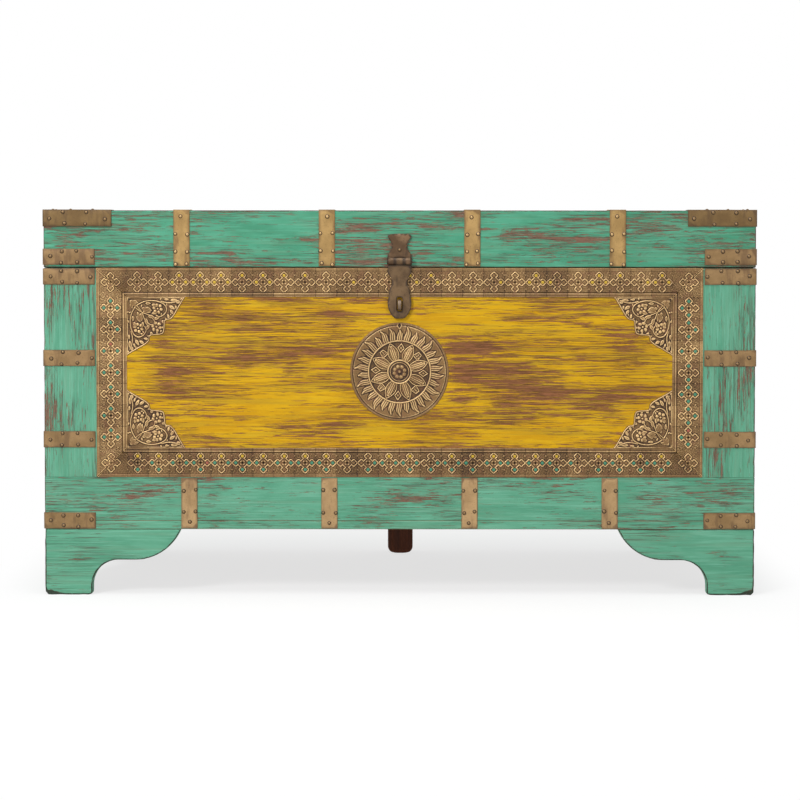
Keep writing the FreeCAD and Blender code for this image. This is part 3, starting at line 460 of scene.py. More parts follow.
def gridBox(low, high, look):
    cuts = [gridCuts(low[axis], high[axis], look) for axis in range(3)]
    points, faces = [], []
    for axis in range(3):
        first, second = (axis + 1) % 3, (axis + 2) % 3
        for side in (0, -1):
            start = len(points)
            for a in cuts[first]:
                for b in cuts[second]:
                    point = [0, 0, 0]
                    point[axis], point[first], point[second] = cuts[axis][side], a, b
                    points.append(point)
            wide = len(cuts[second])
            for i in range(len(cuts[first]) - 1):
                for j in range(wide - 1):
                    corner = start + i * wide + j
                    face = [corner, corner + wide, corner + wide + 1, corner + 1]
                    faces.append(face if side == -1 else face[::-1])
    return points, faces


def weather(piece, low, high, look, seed, joints):
    mesh = piece.data
    points = pointsOf(mesh)
    low, high = np.array(low), np.array(high)
    core = np.clip(points, low + look["round"], high - look["round"])
    away = points - core
    reach = np.linalg.norm(away, axis=1)
    outer = reach > 1e-7
    points[outer] = core[outer] + away[outer] / reach[outer, None] * look["round"]
    below, above = points - low, high - points
    for axis, side in joints:
        (above if side > 0 else below)[:, axis] = 1.0  # painted over, so no worn line
    depth = np.sort(np.minimum(below, above), axis=1)
    edge = np.clip(1 - depth[:, 1] / look["edgeReach"], 0, 1)
    corner = np.clip(1 - depth[:, 2] / look["cornerReach"], 0, 1) * edge
    setPoints(mesh, points)
    swayCount, dentCount, chipCount = look["waveCounts"]
    sway = (waves(points, swayCount, seed) + 1) * 0.5 * look["sway"]
    dent = np.clip(waves(points, dentCount, seed + 3), 0, 1) * look["dent"] * edge
    bite = np.clip(waves(points, chipCount, seed + 7) - look["chipFloor"], 0, 1) * look["chip"] * corner
    setPoints(mesh, points - normalsOf(mesh) * (sway * edge * look["swayShare"] + dent + bite)[:, None])
    addAttribute(mesh, "edge", edge)
    return points


def insideOf(points, low, high, inside):
    hidden = np.zeros(len(points))
    for axis, side in inside:
        face = (high if side > 0 else low)[axis]
        hidden = np.maximum(hidden, np.abs(points[:, axis] - face) < boardLook["faceReach"])
    return hidden


def openParting(mesh, low, high, axis, side):  # the lid's lower arris, lifted into a thin dark line
    points = pointsOf(mesh)
    depth = np.abs(points[:, axis] - (low if side > 0 else high)[axis])
    lower = points[:, 2] < low.z + boardLook["partingRise"]
    points[:, 2] += lower * boardLook["lidGap"] * np.clip(1 - depth / boardLook["partingDepth"], 0, 1)
    setPoints(mesh, points)


def wornBoard(node, material, body, slot, seed, *inside):
    low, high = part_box(node)
    points, faces = gridBox(low, high, boardLook)
    piece = meshPiece(node + "_board", points, faces)
    closeShape(openShape(piece.data, weld), piece.data)
    placed = weather(piece, low, high, boardLook, seed, paintedJoints.get(node, ()))
    if body == "lid" and node.endswith("_board"):
        openParting(piece.data, low, high, *inside[0])
    addAttribute(piece.data, "inside", insideOf(placed, low, high, inside))
    addAttribute(piece.data, "rub", rubbed(placed, node))
    return finished(piece, material, body, [node])


# Joints painted over on the front, as (axis, side) of each board
paintedJoints = {
    "front_bottom_rail": ((2, 1), (2, -1)), "front_left_stile": ((2, -1), (0, 1)),
    "front_right_stile": ((2, -1), (0, -1)), "bottom_front_board": ((2, 1), (2, -1)),
    "front_field_panel": ((0, -1), (0, 1), (2, 1), (2, -1)),
}

# Each board: its paint and grain, then its bare faces as (axis, side)
green = "green_painted_wood"
boards = (
    ("front_bottom_rail", "tealX", (1, 1)), ("front_left_stile", "tealZ", (1, 1)),
    ("front_right_stile", "tealZ", (1, 1)), ("back_panel", "tealX", (1, -1)),
    ("left_side_panel", "tealY", (0, 1)), ("right_side_panel", "tealY", (0, -1)),
    ("bottom_front_board", "tealX", (2, 1), (2, -1), (1, 1)),
    ("bottom_rear_board", "tealX", (2, 1), (2, -1), (1, -1)), ("front_field_panel", "mustard", (1, 1)),
    ("lid_front_board", "lidX", (1, 1)), ("lid_back_board", "lidX", (1, -1)),
    ("lid_left_board", "lidY", (0, 1)), ("lid_right_board", "lidY", (0, -1)),
    ("lid_front_plank", "lidX", (2, -1)), ("lid_middle_plank", "lidX", (2, -1)),
    ("lid_rear_plank", "lidX", (2, -1)),
)


def bodyOf(node):
    return "lid" if node.startswith("lid") else "case"


for seed, (node, paint, *inside) in enumerate(boards):
    slot = "yellow_painted_wood" if paint == "mustard" else green
    wornBoard(node, materials[paint], bodyOf(node), slot, seed, *inside)
print("boards worn:", len(boards))


# Sawn and turned pieces: a merged copy of the node, remeshed fine where it is wood
def mergedCopy(name, node):
    shape = openShape(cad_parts[node].data, weld)
    bmesh.ops.dissolve_limit(shape, angle_limit=math.radians(1), verts=shape.verts, edges=shape.edges)
    mesh = bpy.data.meshes.new(name)
    sharp = [tuple(edge.verts[0].co.lerp(edge.verts[1].co, share)) for edge in shape.edges
             if len(edge.link_faces) == 2 and edge.calc_face_angle(0) > math.radians(35)
             for share in np.linspace(0, 1, max(2, int(edge.calc_length() / (2 * mm))))]
    closeShape(shape, mesh)
    return newPiece(name, mesh), sharp


def edgeFrom(mesh, sharp, reach):
    tree = kdtree.KDTree(len(sharp))
    for index, spot in enumerate(sharp):
        tree.insert(spot, index)
    tree.balance()
    gaps = np.array([tree.find(vertex.co)[2] for vertex in mesh.vertices])
    return np.clip(1 - gaps / reach, 0, 1)


footLook = {
    "voxel": 2.5 * mm, "smooth": 2, "dent": 0.8 * mm, "chip": 3.4 * mm, "waveCounts": (60.0, 70.0),
    "edgeReach": 4 * mm, "edgeGain": 1.6, "cornerReach": 20 * mm, "topJoint": 1 * mm,
    "scuff": (8 * mm, 16 * mm, 9 * mm), "scuffGain": 1.5,  # in from the toe, then its reach sideways and up
}


def sawnPiece(node, material, slot, seed, *inside):
    piece, sharp = mergedCopy(node + "_board", node)
    remesh = piece.modifiers.new("Even", "REMESH")
    remesh.mode = "VOXEL"
    remesh.voxel_size = footLook["voxel"]
    soften = piece.modifiers.new("Soften", "SMOOTH")
    soften.factor = 0.5
    soften.iterations = footLook["smooth"]
    bakeModifiers(piece)
    mesh = piece.data
    low, high = (np.array(corner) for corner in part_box(node))
    points = np.clip(pointsOf(mesh), low, high)
    sharp = [spot for spot in sharp if spot[2] < high[2] - footLook["topJoint"]]  # that joint is painted over
    edge = footLook["edgeGain"] * edgeFrom(mesh, sharp, footLook["edgeReach"])
    ends = np.sort(np.minimum(points - low, high - points), axis=1)[:, 2]
    corner = np.clip(1 - ends / footLook["cornerReach"], 0, 1) * edge
    outer = np.abs(points[:, 0]).max() if node.endswith(("front", "back")) else 0.0
    inset, wide, tall = footLook["scuff"]
    scuffed = np.exp(-((np.abs(points[:, 0]) - outer + inset) / wide) ** 2 - (points[:, 2] / tall) ** 2)
    dentCount, chipCount = footLook["waveCounts"]
    dent = np.clip(waves(points, dentCount, seed), 0, 1) * footLook["dent"] * edge
    bite = np.clip(waves(points, chipCount, seed + 5), 0, 1) * footLook["chip"] * corner
    points -= normalsOf(mesh) * (dent + bite)[:, None]
    setPoints(mesh, points)
    addAttribute(mesh, "edge", edge + footLook["scuffGain"] * scuffed)
    addAttribute(mesh, "inside", insideOf(points, low, high, inside))
    addAttribute(mesh, "rub", rubbed(points, node))
    return finished(piece, material, "case", [node])


seed = 40
for end, inward in (("front", 1), ("rear", -1)):
    for side, sideInward in (("left", 1), ("right", -1)):
        face = "front" if end == "front" else "back"
        sawnPiece(f"{end}_{side}_foot_{face}", materials["tealX"], green, seed, (1, inward))
        sawnPiece(f"{end}_{side}_foot_side", materials["tealY"], green, seed + 1, (0, sideInward))
        seed += 2
sawnPiece("centre_rear_foot", materials["darkWood"], "dark_wood", seed)
print("feet sawn")


# Sheet metal and forgings: softened edges, slight hand-beaten waves
def beaten(node, name, material, body, seed, look):
    piece, sharp = mergedCopy(name, node)
    mesh = piece.data
    shape = openShape(mesh)
    edges = [edge for edge in shape.edges
             if len(edge.link_faces) == 2 and edge.calc_face_angle(0) > math.radians(look["softened"])]
    bmesh.ops.bevel(shape, geom=edges, offset=look["bevel"], segments=2, profile=0.5, affect="EDGES",
                    clamp_overlap=True)
    low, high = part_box(node)
    for axis in range(3):
        normal = Vector([1.0 if index == axis else 0.0 for index in range(3)])
        count = int((high[axis] - low[axis]) / look["step"])
        for index in range(1, count):
            where = Vector(low).lerp(Vector(high), index / count)
            geometry = shape.verts[:] + shape.edges[:] + shape.faces[:]
            bmesh.ops.bisect_plane(shape, geom=geometry, plane_co=where, plane_no=normal, dist=weld)
    closeShape(shape, mesh)
    points = pointsOf(mesh)
    drift = np.stack([waves(points, look["waves"], seed + axis) for axis in range(3)], axis=1) * look["drift"]
    setPoints(mesh, np.clip(points + drift, np.array(low), np.array(high)))
    addAttribute(mesh, "edge", edgeFrom(mesh, sharp, look["edgeReach"]))
    return finished(piece, material, body, [node])


strapLook = {
    "softened": 40, "bevel": 0.35 * mm, "step": 9 * mm, "waves": 22.0, "drift": 0.35 * mm,
    "edgeReach": 4 * mm,
}
straps = (
    ("case_straps_front_left", "cornerBrass"), ("case_straps_front_right", "cornerBrass"),
    ("case_straps_rear_left", "cornerBrass"), ("case_straps_rear_right", "cornerBrass"),
    ("apron_straps", "apronBrass"), ("lid_strap_outer_left", "lidBrass"),
    ("lid_strap_inner_left", "lidBrass"), ("lid_strap_inner_right", "lidBrass"),
    ("lid_strap_outer_right", "lidBrass"), ("lid_corner_caps", "capBrass"),
    ("lid_corner_straps", "cornerBrass"),
)
for seed, (node, metal) in enumerate(straps, 60):
    beaten(node, node + "_sheet", materials[metal], bodyOf(node), seed, strapLook)
print("straps beaten:", len(straps))

ironLook = {
    "softened": 40, "bevel": 0.5 * mm, "step": 6 * mm, "waves": 60.0, "drift": 0.12 * mm,
    "edgeReach": 3 * mm,
}
beaten("hasp_lid_plate", "hasp_plate_forged", materials["haspPlateIron"], "lid", 90, ironLook)
beaten("hasp_tongue", "hasp_tongue_forged", materials["haspIron"], "hasp", 93, ironLook)
beaten("hasp_staple", "hasp_staple_forged", materials["stapleIron"], "case", 96, ironLook)
print("hasp forged")


# Geometry trees: named inputs, a fixed seed, and one mesh at the end
def newTree(name, inputs):
    tree = bpy.data.node_groups.new(name, "GeometryNodeTree")
    tree.interface.new_socket("Geometry", in_out="INPUT", socket_type="NodeSocketGeometry")
    for label, kind, value in inputs:
        socket = tree.interface.new_socket(label, in_out="INPUT", socket_type="NodeSocket" + kind)
        if value is not None:
            socket.default_value = value
    tree.interface.new_socket("Geometry", in_out="OUTPUT", socket_type="NodeSocketGeometry")
    return tree, tree.nodes.new("NodeGroupInput").outputs, tree.nodes.new("NodeGroupOutput").inputs


def runTree(piece, tree, values):
    modifier = piece.modifiers.new(tree.name, "NODES")
    modifier.node_group = tree
    for item in tree.interface.items_tree:
        if item.item_type == "SOCKET" and item.in_out == "INPUT" and item.name in values:
            modifier[item.identifier] = values[item.name]
    return bakeModifiers(piece)


def removePiece(piece):
    mesh = piece.data
    bpy.data.objects.remove(piece)
    bpy.data.meshes.remove(mesh)


# Tacks: one domed head on every tack's seat, turned to face out of its strap
tackLook = {
    "profile": ((3.3, 0.0), (3.1, 0.15), (2.6, 0.3), (2.1, 0.95), (1.3, 1.5), (0.5, 1.7)),
    "sides": 12, "top": 1.7, "jitter": 1.5 * mm, "spread": 0.1, "seed": 11,
    "shiny": (0.05, 0.4),  # how far from the middle the lid's brighter tacks sit, in metres
}


def domeMesh(name, look):
    points, faces, crowns = [], [], []
    sides = look["sides"]
    for radius, height in look["profile"]:
        for index in range(sides):
            turn = 2 * math.pi * index / sides
            points.append((radius * mm * math.cos(turn), radius * mm * math.sin(turn), height * mm))
            crowns.append(height / look["top"])
    for ring in range(len(look["profile"]) - 1):
        for index in range(sides):
            after = (index + 1) % sides
            near, far = ring * sides, (ring + 1) * sides
            faces.append((near + index, near + after, far + after, far + index))
    last = (len(look["profile"]) - 1) * sides
    faces.append(tuple(range(last, last + sides)))
    faces.append(tuple(reversed(range(sides))))
    piece = meshPiece(name, points, faces)
    addAttribute(piece.data, "crown", crowns)
    return piece


tackTree, given, result = newTree("tack_rows", (
    ("Head", "Object", None), ("Spread", "Float", tackLook["spread"]), ("Seed", "Int", tackLook["seed"]),
    ("Material", "Material", None),
))
facing = addNode(tackTree, "GeometryNodeInputNamedAttribute", {"Name": "facing"}, data_type="FLOAT_VECTOR")
turned = addNode(tackTree, "FunctionNodeAlignRotationToVector", {"Vector": facing.outputs[0]}, axis="Z")
head = addNode(tackTree, "GeometryNodeObjectInfo", {"Object": given["Head"]})
small = calc(tackTree, "SUBTRACT", 1.0, given["Spread"])
big = calc(tackTree, "ADD", 1.0, given["Spread"])
span = {2: small, 3: big, "Seed": given["Seed"]}
sized = addNode(tackTree, "FunctionNodeRandomValue", span, data_type="FLOAT")
rows = addNode(tackTree, "GeometryNodeInstanceOnPoints", {
    "Points": given["Geometry"], "Instance": head.outputs["Geometry"], "Rotation": turned.outputs[0],
    "Scale": sized.outputs[1],
})
real = addNode(tackTree, "GeometryNodeRealizeInstances", {"Geometry": rows.outputs[0]})
painted = addNode(tackTree, "GeometryNodeSetMaterial", {
    "Geometry": real.outputs[0], "Material": given["Material"]})
tackTree.links.new(painted.outputs[0], result["Geometry"])


def tackSeats(node):
    shape = openShape(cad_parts[node].data, weld)
    waiting = set(shape.verts)
    seats = []
    while waiting:
        island, edge = [], [min(waiting, key=lambda vertex: vertex.index)]
        waiting.discard(edge[0])
        while edge:
            vertex = edge.pop()
            island.append(vertex.co.copy())
            for link in vertex.link_edges:
                other = link.other_vert(vertex)
                if other in waiting:
                    waiting.discard(other)
                    edge.append(other)
        spots = np.array(island)
        low, high = spots.min(0), spots.max(0)
        axis = int(np.argmin(high - low))
        seats.append(((low + high) / 2, (high - low)[axis], axis))
    shape.free()
    return seats


def tackRow(name, node, body, head):
    seats = tackSeats(node)
    dice = np.random.default_rng(tackLook["seed"])
    spots, facings = [], []
    for centre, rise, axis in seats:
        out = np.zeros(3)
        out[axis] = 1.0 if axis == 2 else math.copysign(1.0, centre[axis])
        slide = dice.uniform(-1, 1, 3) * tackLook["jitter"]
        slide[axis] = 0
        spots.append(centre - out * rise / 2 + slide)
        facings.append(out)
    piece = meshPiece(name, spots, [])
    attribute = piece.data.attributes.new("facing", "FLOAT_VECTOR", "POINT")
    attribute.data.foreach_set("vector", np.array(facings, np.float32).ravel())
    nearest, farthest = tackLook["shiny"]
    bright = [body == "lid" and nearest < abs(spot[0]) < farthest for spot in spots]
    addAttribute(piece.data, "dull", [0.0 if shiny else 1.0 for shiny in bright])
    runTree(piece, tackTree, {"Head": head, "Spread": tackLook["spread"], "Seed": tackLook["seed"],
                              "Material": materials["tacks"]})
    return finished(piece, materials["tacks"], body, [node])


tackHead = domeMesh("tack_head", tackLook)
tackRow("case_tack_heads", "case_strap_tacks", "case", tackHead)
tackRow("lid_tack_heads", "lid_tacks", "lid", tackHead)
removePiece(tackHead)
print("tacks seated")


# Relief helpers, all in millimetres until a sheet is placed
def crest(gap, width, height):
    return height * np.clip(1 - (np.abs(gap) / width) ** 2, 0, 1)


def groove(gap, width, depth):
    return depth * np.exp(-(gap / width) ** 2)


def spun(x, y, angle):  # the same spot, along a direction and beside it
    return x * math.cos(angle) + y * math.sin(angle), -x * math.sin(angle) + y * math.cos(angle)


def blurred(field, wide):
    made = field.copy()
    for axis in (0, 1):
        pad = [(0, 0), (0, 0)]
        pad[axis] = (wide, wide)
        total = np.cumsum(np.pad(made, pad, mode="edge"), axis=axis)
        total = np.concatenate([np.zeros_like(np.take(total, [0], axis=axis)), total], axis=axis)
        size = made.shape[axis]
        upper = np.take(total, range(2 * wide + 1, 2 * wide + 1 + size), axis=axis)
        made = (upper - np.take(total, range(size), axis=axis)) / (2 * wide + 1)
    return made


def liftOf(height, look):
    # hollows beside the ridges darker and the ridges brighter: partly patina, partly painted shade and
    # painted highlight
    near = height - blurred(height, look["blur"])
    return np.clip(look["ground"] + look["rise"] * height / look["high"] + look["local"] * near, 0, 1)


def stipple(u, v, seed, size):
    spots = zip(u.ravel(), v.ravel())
    return np.array([noise.noise(Vector((a / size, b / size, seed))) for a, b in spots]).reshape(u.shape)


def gridFaces(rows, columns, flip=False):
    faces = []
    for i in range(rows - 1):
        for j in range(columns - 1):
            corner = i * columns + j
            face = (corner, corner + 1, corner + columns + 1, corner + columns)
            faces.append(face[::-1] if flip else face)
    return faces


def closeBack(piece, back):
    shape = openShape(piece.data, sheetWeld)
    rim = [edge for edge in shape.edges if edge.is_boundary]
    made = bmesh.ops.extrude_edge_only(shape, edges=rim)
    for item in made["geom"]:
        if isinstance(item, bmesh.types.BMVert):
            item.co.y = back
    floor = [edge for edge in shape.edges if edge.is_boundary]
    bmesh.ops.contextual_create(shape, geom=floor)
    bmesh.ops.recalc_face_normals(shape, faces=shape.faces)
    closeShape(shape, piece.data)


def embossedSheet(node, x, z, height, faces, look):
    y = faceY - (look["base"] + height) * mm
    points = np.stack([x, y, z], axis=-1).reshape(-1, 3)
    piece = meshPiece(node + "_sheet", points, faces)
    addAttribute(piece.data, "lift", liftOf(height, look).ravel())
    for colour in paintColours:
        addAttribute(piece.data, colour, np.zeros(len(points)))
    closeBack(piece, faceY)
    return finished(piece, materials["embossed"], "case", [node])


# Embossed bands: four cells around a small flower, between a rim and a beaded border
bandLook = {
    "pitch": 33.4, "columns": 46, "rows": 68, "centre": 23.0, "upDown": 10.8, "sideways": 10.6,
    "cornerLobe": 9.6, "ring": 4.9, "point": 0.12, "body": 10.0, "line": 1.0, "high": 1.15,
    "cell": 2.9, "base": 0.35, "hatch": 2.3, "hatchDepth": 0.36,
    "ground": 0.36, "rise": 0.13, "local": 0.8, "blur": 3,
    # lines along the band: how far from its edge, half width, height
    "innerLines": ((5.3, 0.85, 0.75), (1.2, 0.75, 0.6)), "outerLines": ((3.3, 0.75, 0.7), (1.0, 1.0, 0.55)),
    "beadLine": (3.2, 0.85, 0.35), "bead": 2.1, "valley": (7.8, 0.9, 0.4), "innerRim": 8.2, "outerRim": 4.4,
    "swapped": 0.03, "swappedShade": 0.8, "uneven": 0.05,
}
cellNames = ("cellTop", "cellRight", "cellLow", "cellLeft")
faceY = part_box("front_field_panel")[0].y
bandBox = {name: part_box("brass_band_" + name) for name in ("bottom", "top", "left", "right")}
sideWidth = (bandBox["left"][1].x - bandBox["left"][0].x) / mm
crossWidth = (bandBox["bottom"][1].z - bandBox["bottom"][0].z) / mm


def bandBorder(v, u, width, look):
    inner = width - v
    height = sum(crest(inner - place, wide, high) for place, wide, high in look["innerLines"])
    place, wide, high = look["beadLine"]
    bead = 0.5 + 0.5 * np.cos(2 * math.pi * u / look["bead"])
    height += crest(inner - place, wide, high) * (0.3 + 0.9 * bead)
    place, wide, deep = look["valley"]
    height -= groove(inner - place, wide, deep)
    return height + sum(crest(v - place, wide, high) for place, wide, high in look["outerLines"])


def bandMotif(a, b, reachA, reachB, look):
    rings, cells = [], []
    for x, y in ((0, reachB), (reachA, 0), (0, -reachB), (-reachA, 0)):
        away = np.hypot(a - x, b - y)
        ring = look["ring"] * (1 + look["point"] * np.cos(4 * np.arctan2(b - y, a - x)))
        rings.append(away - ring)
        cells.append(np.clip((look["cell"] - away) / 0.7, 0, 1))
    lobe = np.minimum.reduce(rings)
    near = np.minimum(lobe, (np.abs(a) + np.abs(b) - look["body"]) / math.sqrt(2))
    height = crest(near, look["line"], look["high"]) + crest(near - 2.6, 0.5, 0.2)
    height -= groove(near - 1.4, 0.5, 0.4)
    height += crest(lobe + 0.9, 0.6, 0.45) - groove(lobe + 1.9, 0.5, 0.5) + 0.35 * np.maximum.reduce(cells)
    middle = np.hypot(a, b)
    petals = 0.55 + 0.45 * np.cos(4 * np.arctan2(b, a) + math.pi)
    height += (crest(middle - 3.4, 1.3, 0.8) * petals - groove(middle, 1.6, 0.7)) * (lobe > 0.4)
    return height, near, cells


def bandHeight(u, v, width, look):
    b = v - look["centre"]
    height, near, cells = bandMotif(u, b, look["sideways"], look["upDown"], look)
    beside = look["pitch"] / 2 - np.abs(u)
    height += crest(np.hypot(beside, np.abs(b) - 11.2), 1.7, 0.8)
    height += crest(np.hypot(beside, np.abs(b) - 7.2), 1.0, 0.5)
    return bandGround(height, near, u, v, width, look), cells


def bandGround(height, near, u, v, width, look):
    wobble = stipple(u, v, 4.0, 2.6)
    hatch = np.cos(2 * math.pi * (u + 0.45 * np.abs(v - look["centre"]) + 0.9 * wobble) / look["hatch"])
    inner = (v > look["outerRim"]) & (v < width - look["innerRim"])
    height = height + (hatch * look["hatchDepth"] + 0.5 * stipple(u, v, 8.0, 1.2)) * (near > 2.0)
    return height * inner + bandBorder(v, u, width, look)


def bandUnit(name, width, pitch, look):
    across = np.linspace(-pitch / 2, pitch / 2, look["columns"])
    u, v = np.meshgrid(across, np.linspace(0, width, look["rows"]))
    height, cells = bandHeight(u * look["pitch"] / pitch, v, width, look)
    seam = groove(pitch / 2 - np.abs(u), 0.5, -0.35)
    points = np.stack([u * mm, -(look["base"] + height) * mm, v * mm], axis=-1).reshape(-1, 3)
    piece = meshPiece(name, points, gridFaces(look["rows"], look["columns"]))
    addAttribute(piece.data, "lift", (liftOf(height, look) + seam).ravel())
    for label, cell in zip(cellNames, cells):
        addAttribute(piece.data, label, cell.ravel())
    return piece


def bandCorners(name, half, width, mitre, look):
    points, faces, lifts = [], [], []
    rows = look["rows"]
    for side in (-1, 1):
        start = len(points)
        share, v = np.meshgrid(np.linspace(0, 1, rows), np.linspace(0, width, rows))
        run = share * (width - v) * mitre / width  # from the last unit out to the mitre
        u = half - mitre + run
        a, b = half - u - look["centre"], v - look["centre"]
        height, near, _ = bandMotif(a, b, look["cornerLobe"], look["cornerLobe"], look)
        height = bandGround(height, near, u, v, width, look)
        toMitre = (1 - share) * (width - v)
        height += groove(toMitre - 1.6, 0.7, 0.5) - groove(toMitre, 0.7, 0.6)
        spots = np.stack([side * u * mm, -(look["base"] + height) * mm, v * mm], axis=-1)
        points += spots.reshape(-1, 3).tolist()
        lifts += liftOf(height, look).ravel().tolist()
        faces += [[start + index for index in face] for face in gridFaces(rows, rows, flip=side < 0)]
    piece = meshPiece(name, points, faces)
    addAttribute(piece.data, "lift", lifts)
    for label in cellNames:
        addAttribute(piece.data, label, np.zeros(len(points)))
    return piece


bandTree, given, result = newTree("band_run", (
    ("Unit", "Object", None), ("Count", "Int", 10), ("Pitch", "Float", bandLook["pitch"] * mm),
    ("Start", "Float", 0.0), ("Seed", "Int", 5), ("Material", "Material", None),
))
startPoint = addNode(bandTree, "ShaderNodeCombineXYZ", {"X": given["Start"]})
stepVector = addNode(bandTree, "ShaderNodeCombineXYZ", {"X": given["Pitch"]})
line = addNode(bandTree, "GeometryNodeMeshLine", {
    "Count": given["Count"], "Start Location": startPoint.outputs[0], "Offset": stepVector.outputs[0]})
unit = addNode(bandTree, "GeometryNodeObjectInfo", {"Object": given["Unit"]})
placed = addNode(bandTree, "GeometryNodeInstanceOnPoints", {
    "Points": line.outputs[0], "Instance": unit.outputs["Geometry"]})
lot = addNode(bandTree, "FunctionNodeRandomValue", {"Seed": given["Seed"]}, data_type="FLOAT")
marked = addNode(bandTree, "GeometryNodeStoreNamedAttribute", {
    "Geometry": placed.outputs[0], "Name": "lot", "Value": lot.outputs[1],
}, data_type="FLOAT", domain="INSTANCE")
real = addNode(bandTree, "GeometryNodeRealizeInstances", {"Geometry": marked.outputs[0]})
joined = addNode(bandTree, "GeometryNodeJoinGeometry")
bandTree.links.new(given["Geometry"], joined.inputs[0])
bandTree.links.new(real.outputs[0], joined.inputs[0])
welded = addNode(bandTree, "GeometryNodeMergeByDistance", {
    "Geometry": joined.outputs[0], "Distance": sheetWeld})
painted = addNode(bandTree, "GeometryNodeSetMaterial", {
    "Geometry": welded.outputs[0], "Material": given["Material"]})
bandTree.links.new(painted.outputs[0], result["Geometry"])

# Paint left in the cells: which cells hold which colour, and how many of them still do
cellPaint = {
    "bottom": {"teal": (0, 1, 1, 1), "yellow": (1, 0, 0, 0), "kept": 0.8, "bright": -0.02, "relief": 0.85},
    "top": {"teal": (0, 0, 0, 0), "yellow": (0, 1, 1, 1), "kept": 0.3, "bright": 0.03, "relief": 0.72},
    "left": {"teal": (1, 0, 1, 1), "yellow": (0, 0, 0, 0), "kept": 0.85, "bright": 0.13, "relief": 0.88},
    "right": {"teal": (1, 1, 1, 1), "yellow": (0, 0, 0, 0), "kept": 0.8, "bright": 0.09, "relief": 0.88},
}


def readAttribute(mesh, name):
    return readValues(mesh.attributes[name].data, "value")


def paintCells(mesh, rule):
    lot = readAttribute(mesh, "lot")  # one random number for each stamped unit
    totals = dict.fromkeys(paintColours, 0)
    for index, label in enumerate(cellNames):
        cell = readAttribute(mesh, label)
        draw = (lot * (37.0 + 11.0 * index) + 0.17 * index) % 1.0
        kept = draw < rule["kept"]
        swap = (draw < bandLook["swapped"]) & (rule["teal"][index] > 0)
        for colour in ("teal", "yellow"):
            totals[colour] = totals[colour] + cell * kept * ~swap * rule[colour][index]
        totals["red"] = totals["red"] + cell * swap * bandLook["swappedShade"]
        mesh.attributes.remove(mesh.attributes[label])
    for colour, values in totals.items():
        addAttribute(mesh, colour, values)
    lift = bandLook["ground"] + (readAttribute(mesh, "lift") - bandLook["ground"]) * rule["relief"]
    uneven = bandLook["uneven"] * np.sin(lot * 91.0) + rule["bright"]  # each unit took the polish its own way
    addAttribute(mesh, "lift", np.clip(lift + uneven, 0, 1))


def makeBand(name, half, width, mitre, turn, middle):
    run = 2 * (half - mitre)
    count = round(run / bandLook["pitch"])
    pitch = run / count
    unitPiece = bandUnit(name + "_unit", width, pitch, bandLook)
    piece = bandCorners(f"brass_band_{name}_sheet", half, width, mitre, bandLook)
    runTree(piece, bandTree, {
        "Unit": unitPiece, "Count": count, "Pitch": pitch * mm, "Start": -(run - pitch) / 2 * mm,
        "Seed": len(name), "Material": materials["embossed"]})
    removePiece(unitPiece)
    closeBack(piece, 0.0)
    paintCells(piece.data, cellPaint[name])
    spin = Matrix.Rotation(math.radians(turn), 4, Vector((0, -1, 0)))
    piece.data.transform(Matrix.Translation(middle) @ spin)
    return finished(piece, materials["embossed"], "case", ["brass_band_" + name])


low, high = bandBox["bottom"][0], bandBox["top"][1]
halfWide = (high.x - low.x) / 2 / mm
halfTall = (high.z - low.z) / 2 / mm
middleZ = (low.z + high.z) / 2
makeBand("bottom", halfWide, crossWidth, sideWidth, 0, Vector((0, faceY, low.z)))
makeBand("top", halfWide, crossWidth, sideWidth, 180, Vector((0, faceY, high.z)))
makeBand("left", halfTall, sideWidth, crossWidth, -90, Vector((low.x, faceY, middleZ)))
makeBand("right", halfTall, sideWidth, crossWidth, 90, Vector((high.x, faceY, middleZ)))
print("bands embossed")


# Strokes, leaves and flowers for the corner ornaments
def smoothRun(points, parts=7):
    spots = [np.array(point, float) for point in points]
    spots = [2 * spots[0] - spots[1]] + spots + [2 * spots[-1] - spots[-2]]
    made = []
    for before, here, after, beyond in zip(spots, spots[1:], spots[2:], spots[3:]):
        for part in range(parts):
            t = part / parts
            bend = (2 * before - 5 * here + 4 * after - beyond) * t ** 2
            twist = (3 * here - before - 3 * after + beyond) * t ** 3
            made.append(0.5 * (2 * here + (after - before) * t + bend + twist))
    made.append(spots[-2])
    return made


def gapToRun(a, b, run):
    gap = np.full(a.shape, 1e3)
    for (ax, ay), (bx, by) in zip(run, run[1:]):
        dx, dy = bx - ax, by - ay
        share = np.clip(((a - ax) * dx + (b - ay) * dy) / max(dx * dx + dy * dy, 1e-9), 0, 1)
        gap = np.minimum(gap, np.hypot(a - ax - share * dx, b - ay - share * dy))
    return gap


def leafHeight(a, b, leaf, height):
    x, y, length, width, turn = leaf
    along, side = spun(a - x, b - y, math.radians(turn))
    along, side = along / length, side / width
    half = np.clip(np.sin(math.pi * np.clip(along, 0, 1) ** 0.8), 1e-3, 1)
    inside = crest(side, half, 1) * (along > 0) * (along < 1)
    return height * inside ** 0.5 * (1 - groove(side, 0.16, 0.35))  # the groove is its midrib


def flowerHeight(a, b, flower, height):
    x, y, radius, petals = flower
    out = radius * 0.68  # how far out the petals sit
    wide = out * math.sin(math.pi / petals)
    made = np.zeros_like(a)
    for index in range(petals):
        turn = 2 * math.pi * index / petals + 0.3
        away = np.hypot(a - x - out * math.cos(turn), b - y - out * math.sin(turn))
        made = np.maximum(made, height * crest(away, wide, 1) ** 0.6)
    return np.maximum(made, crest(np.hypot(a - x, b - y), radius * 0.22, height * 0.9))


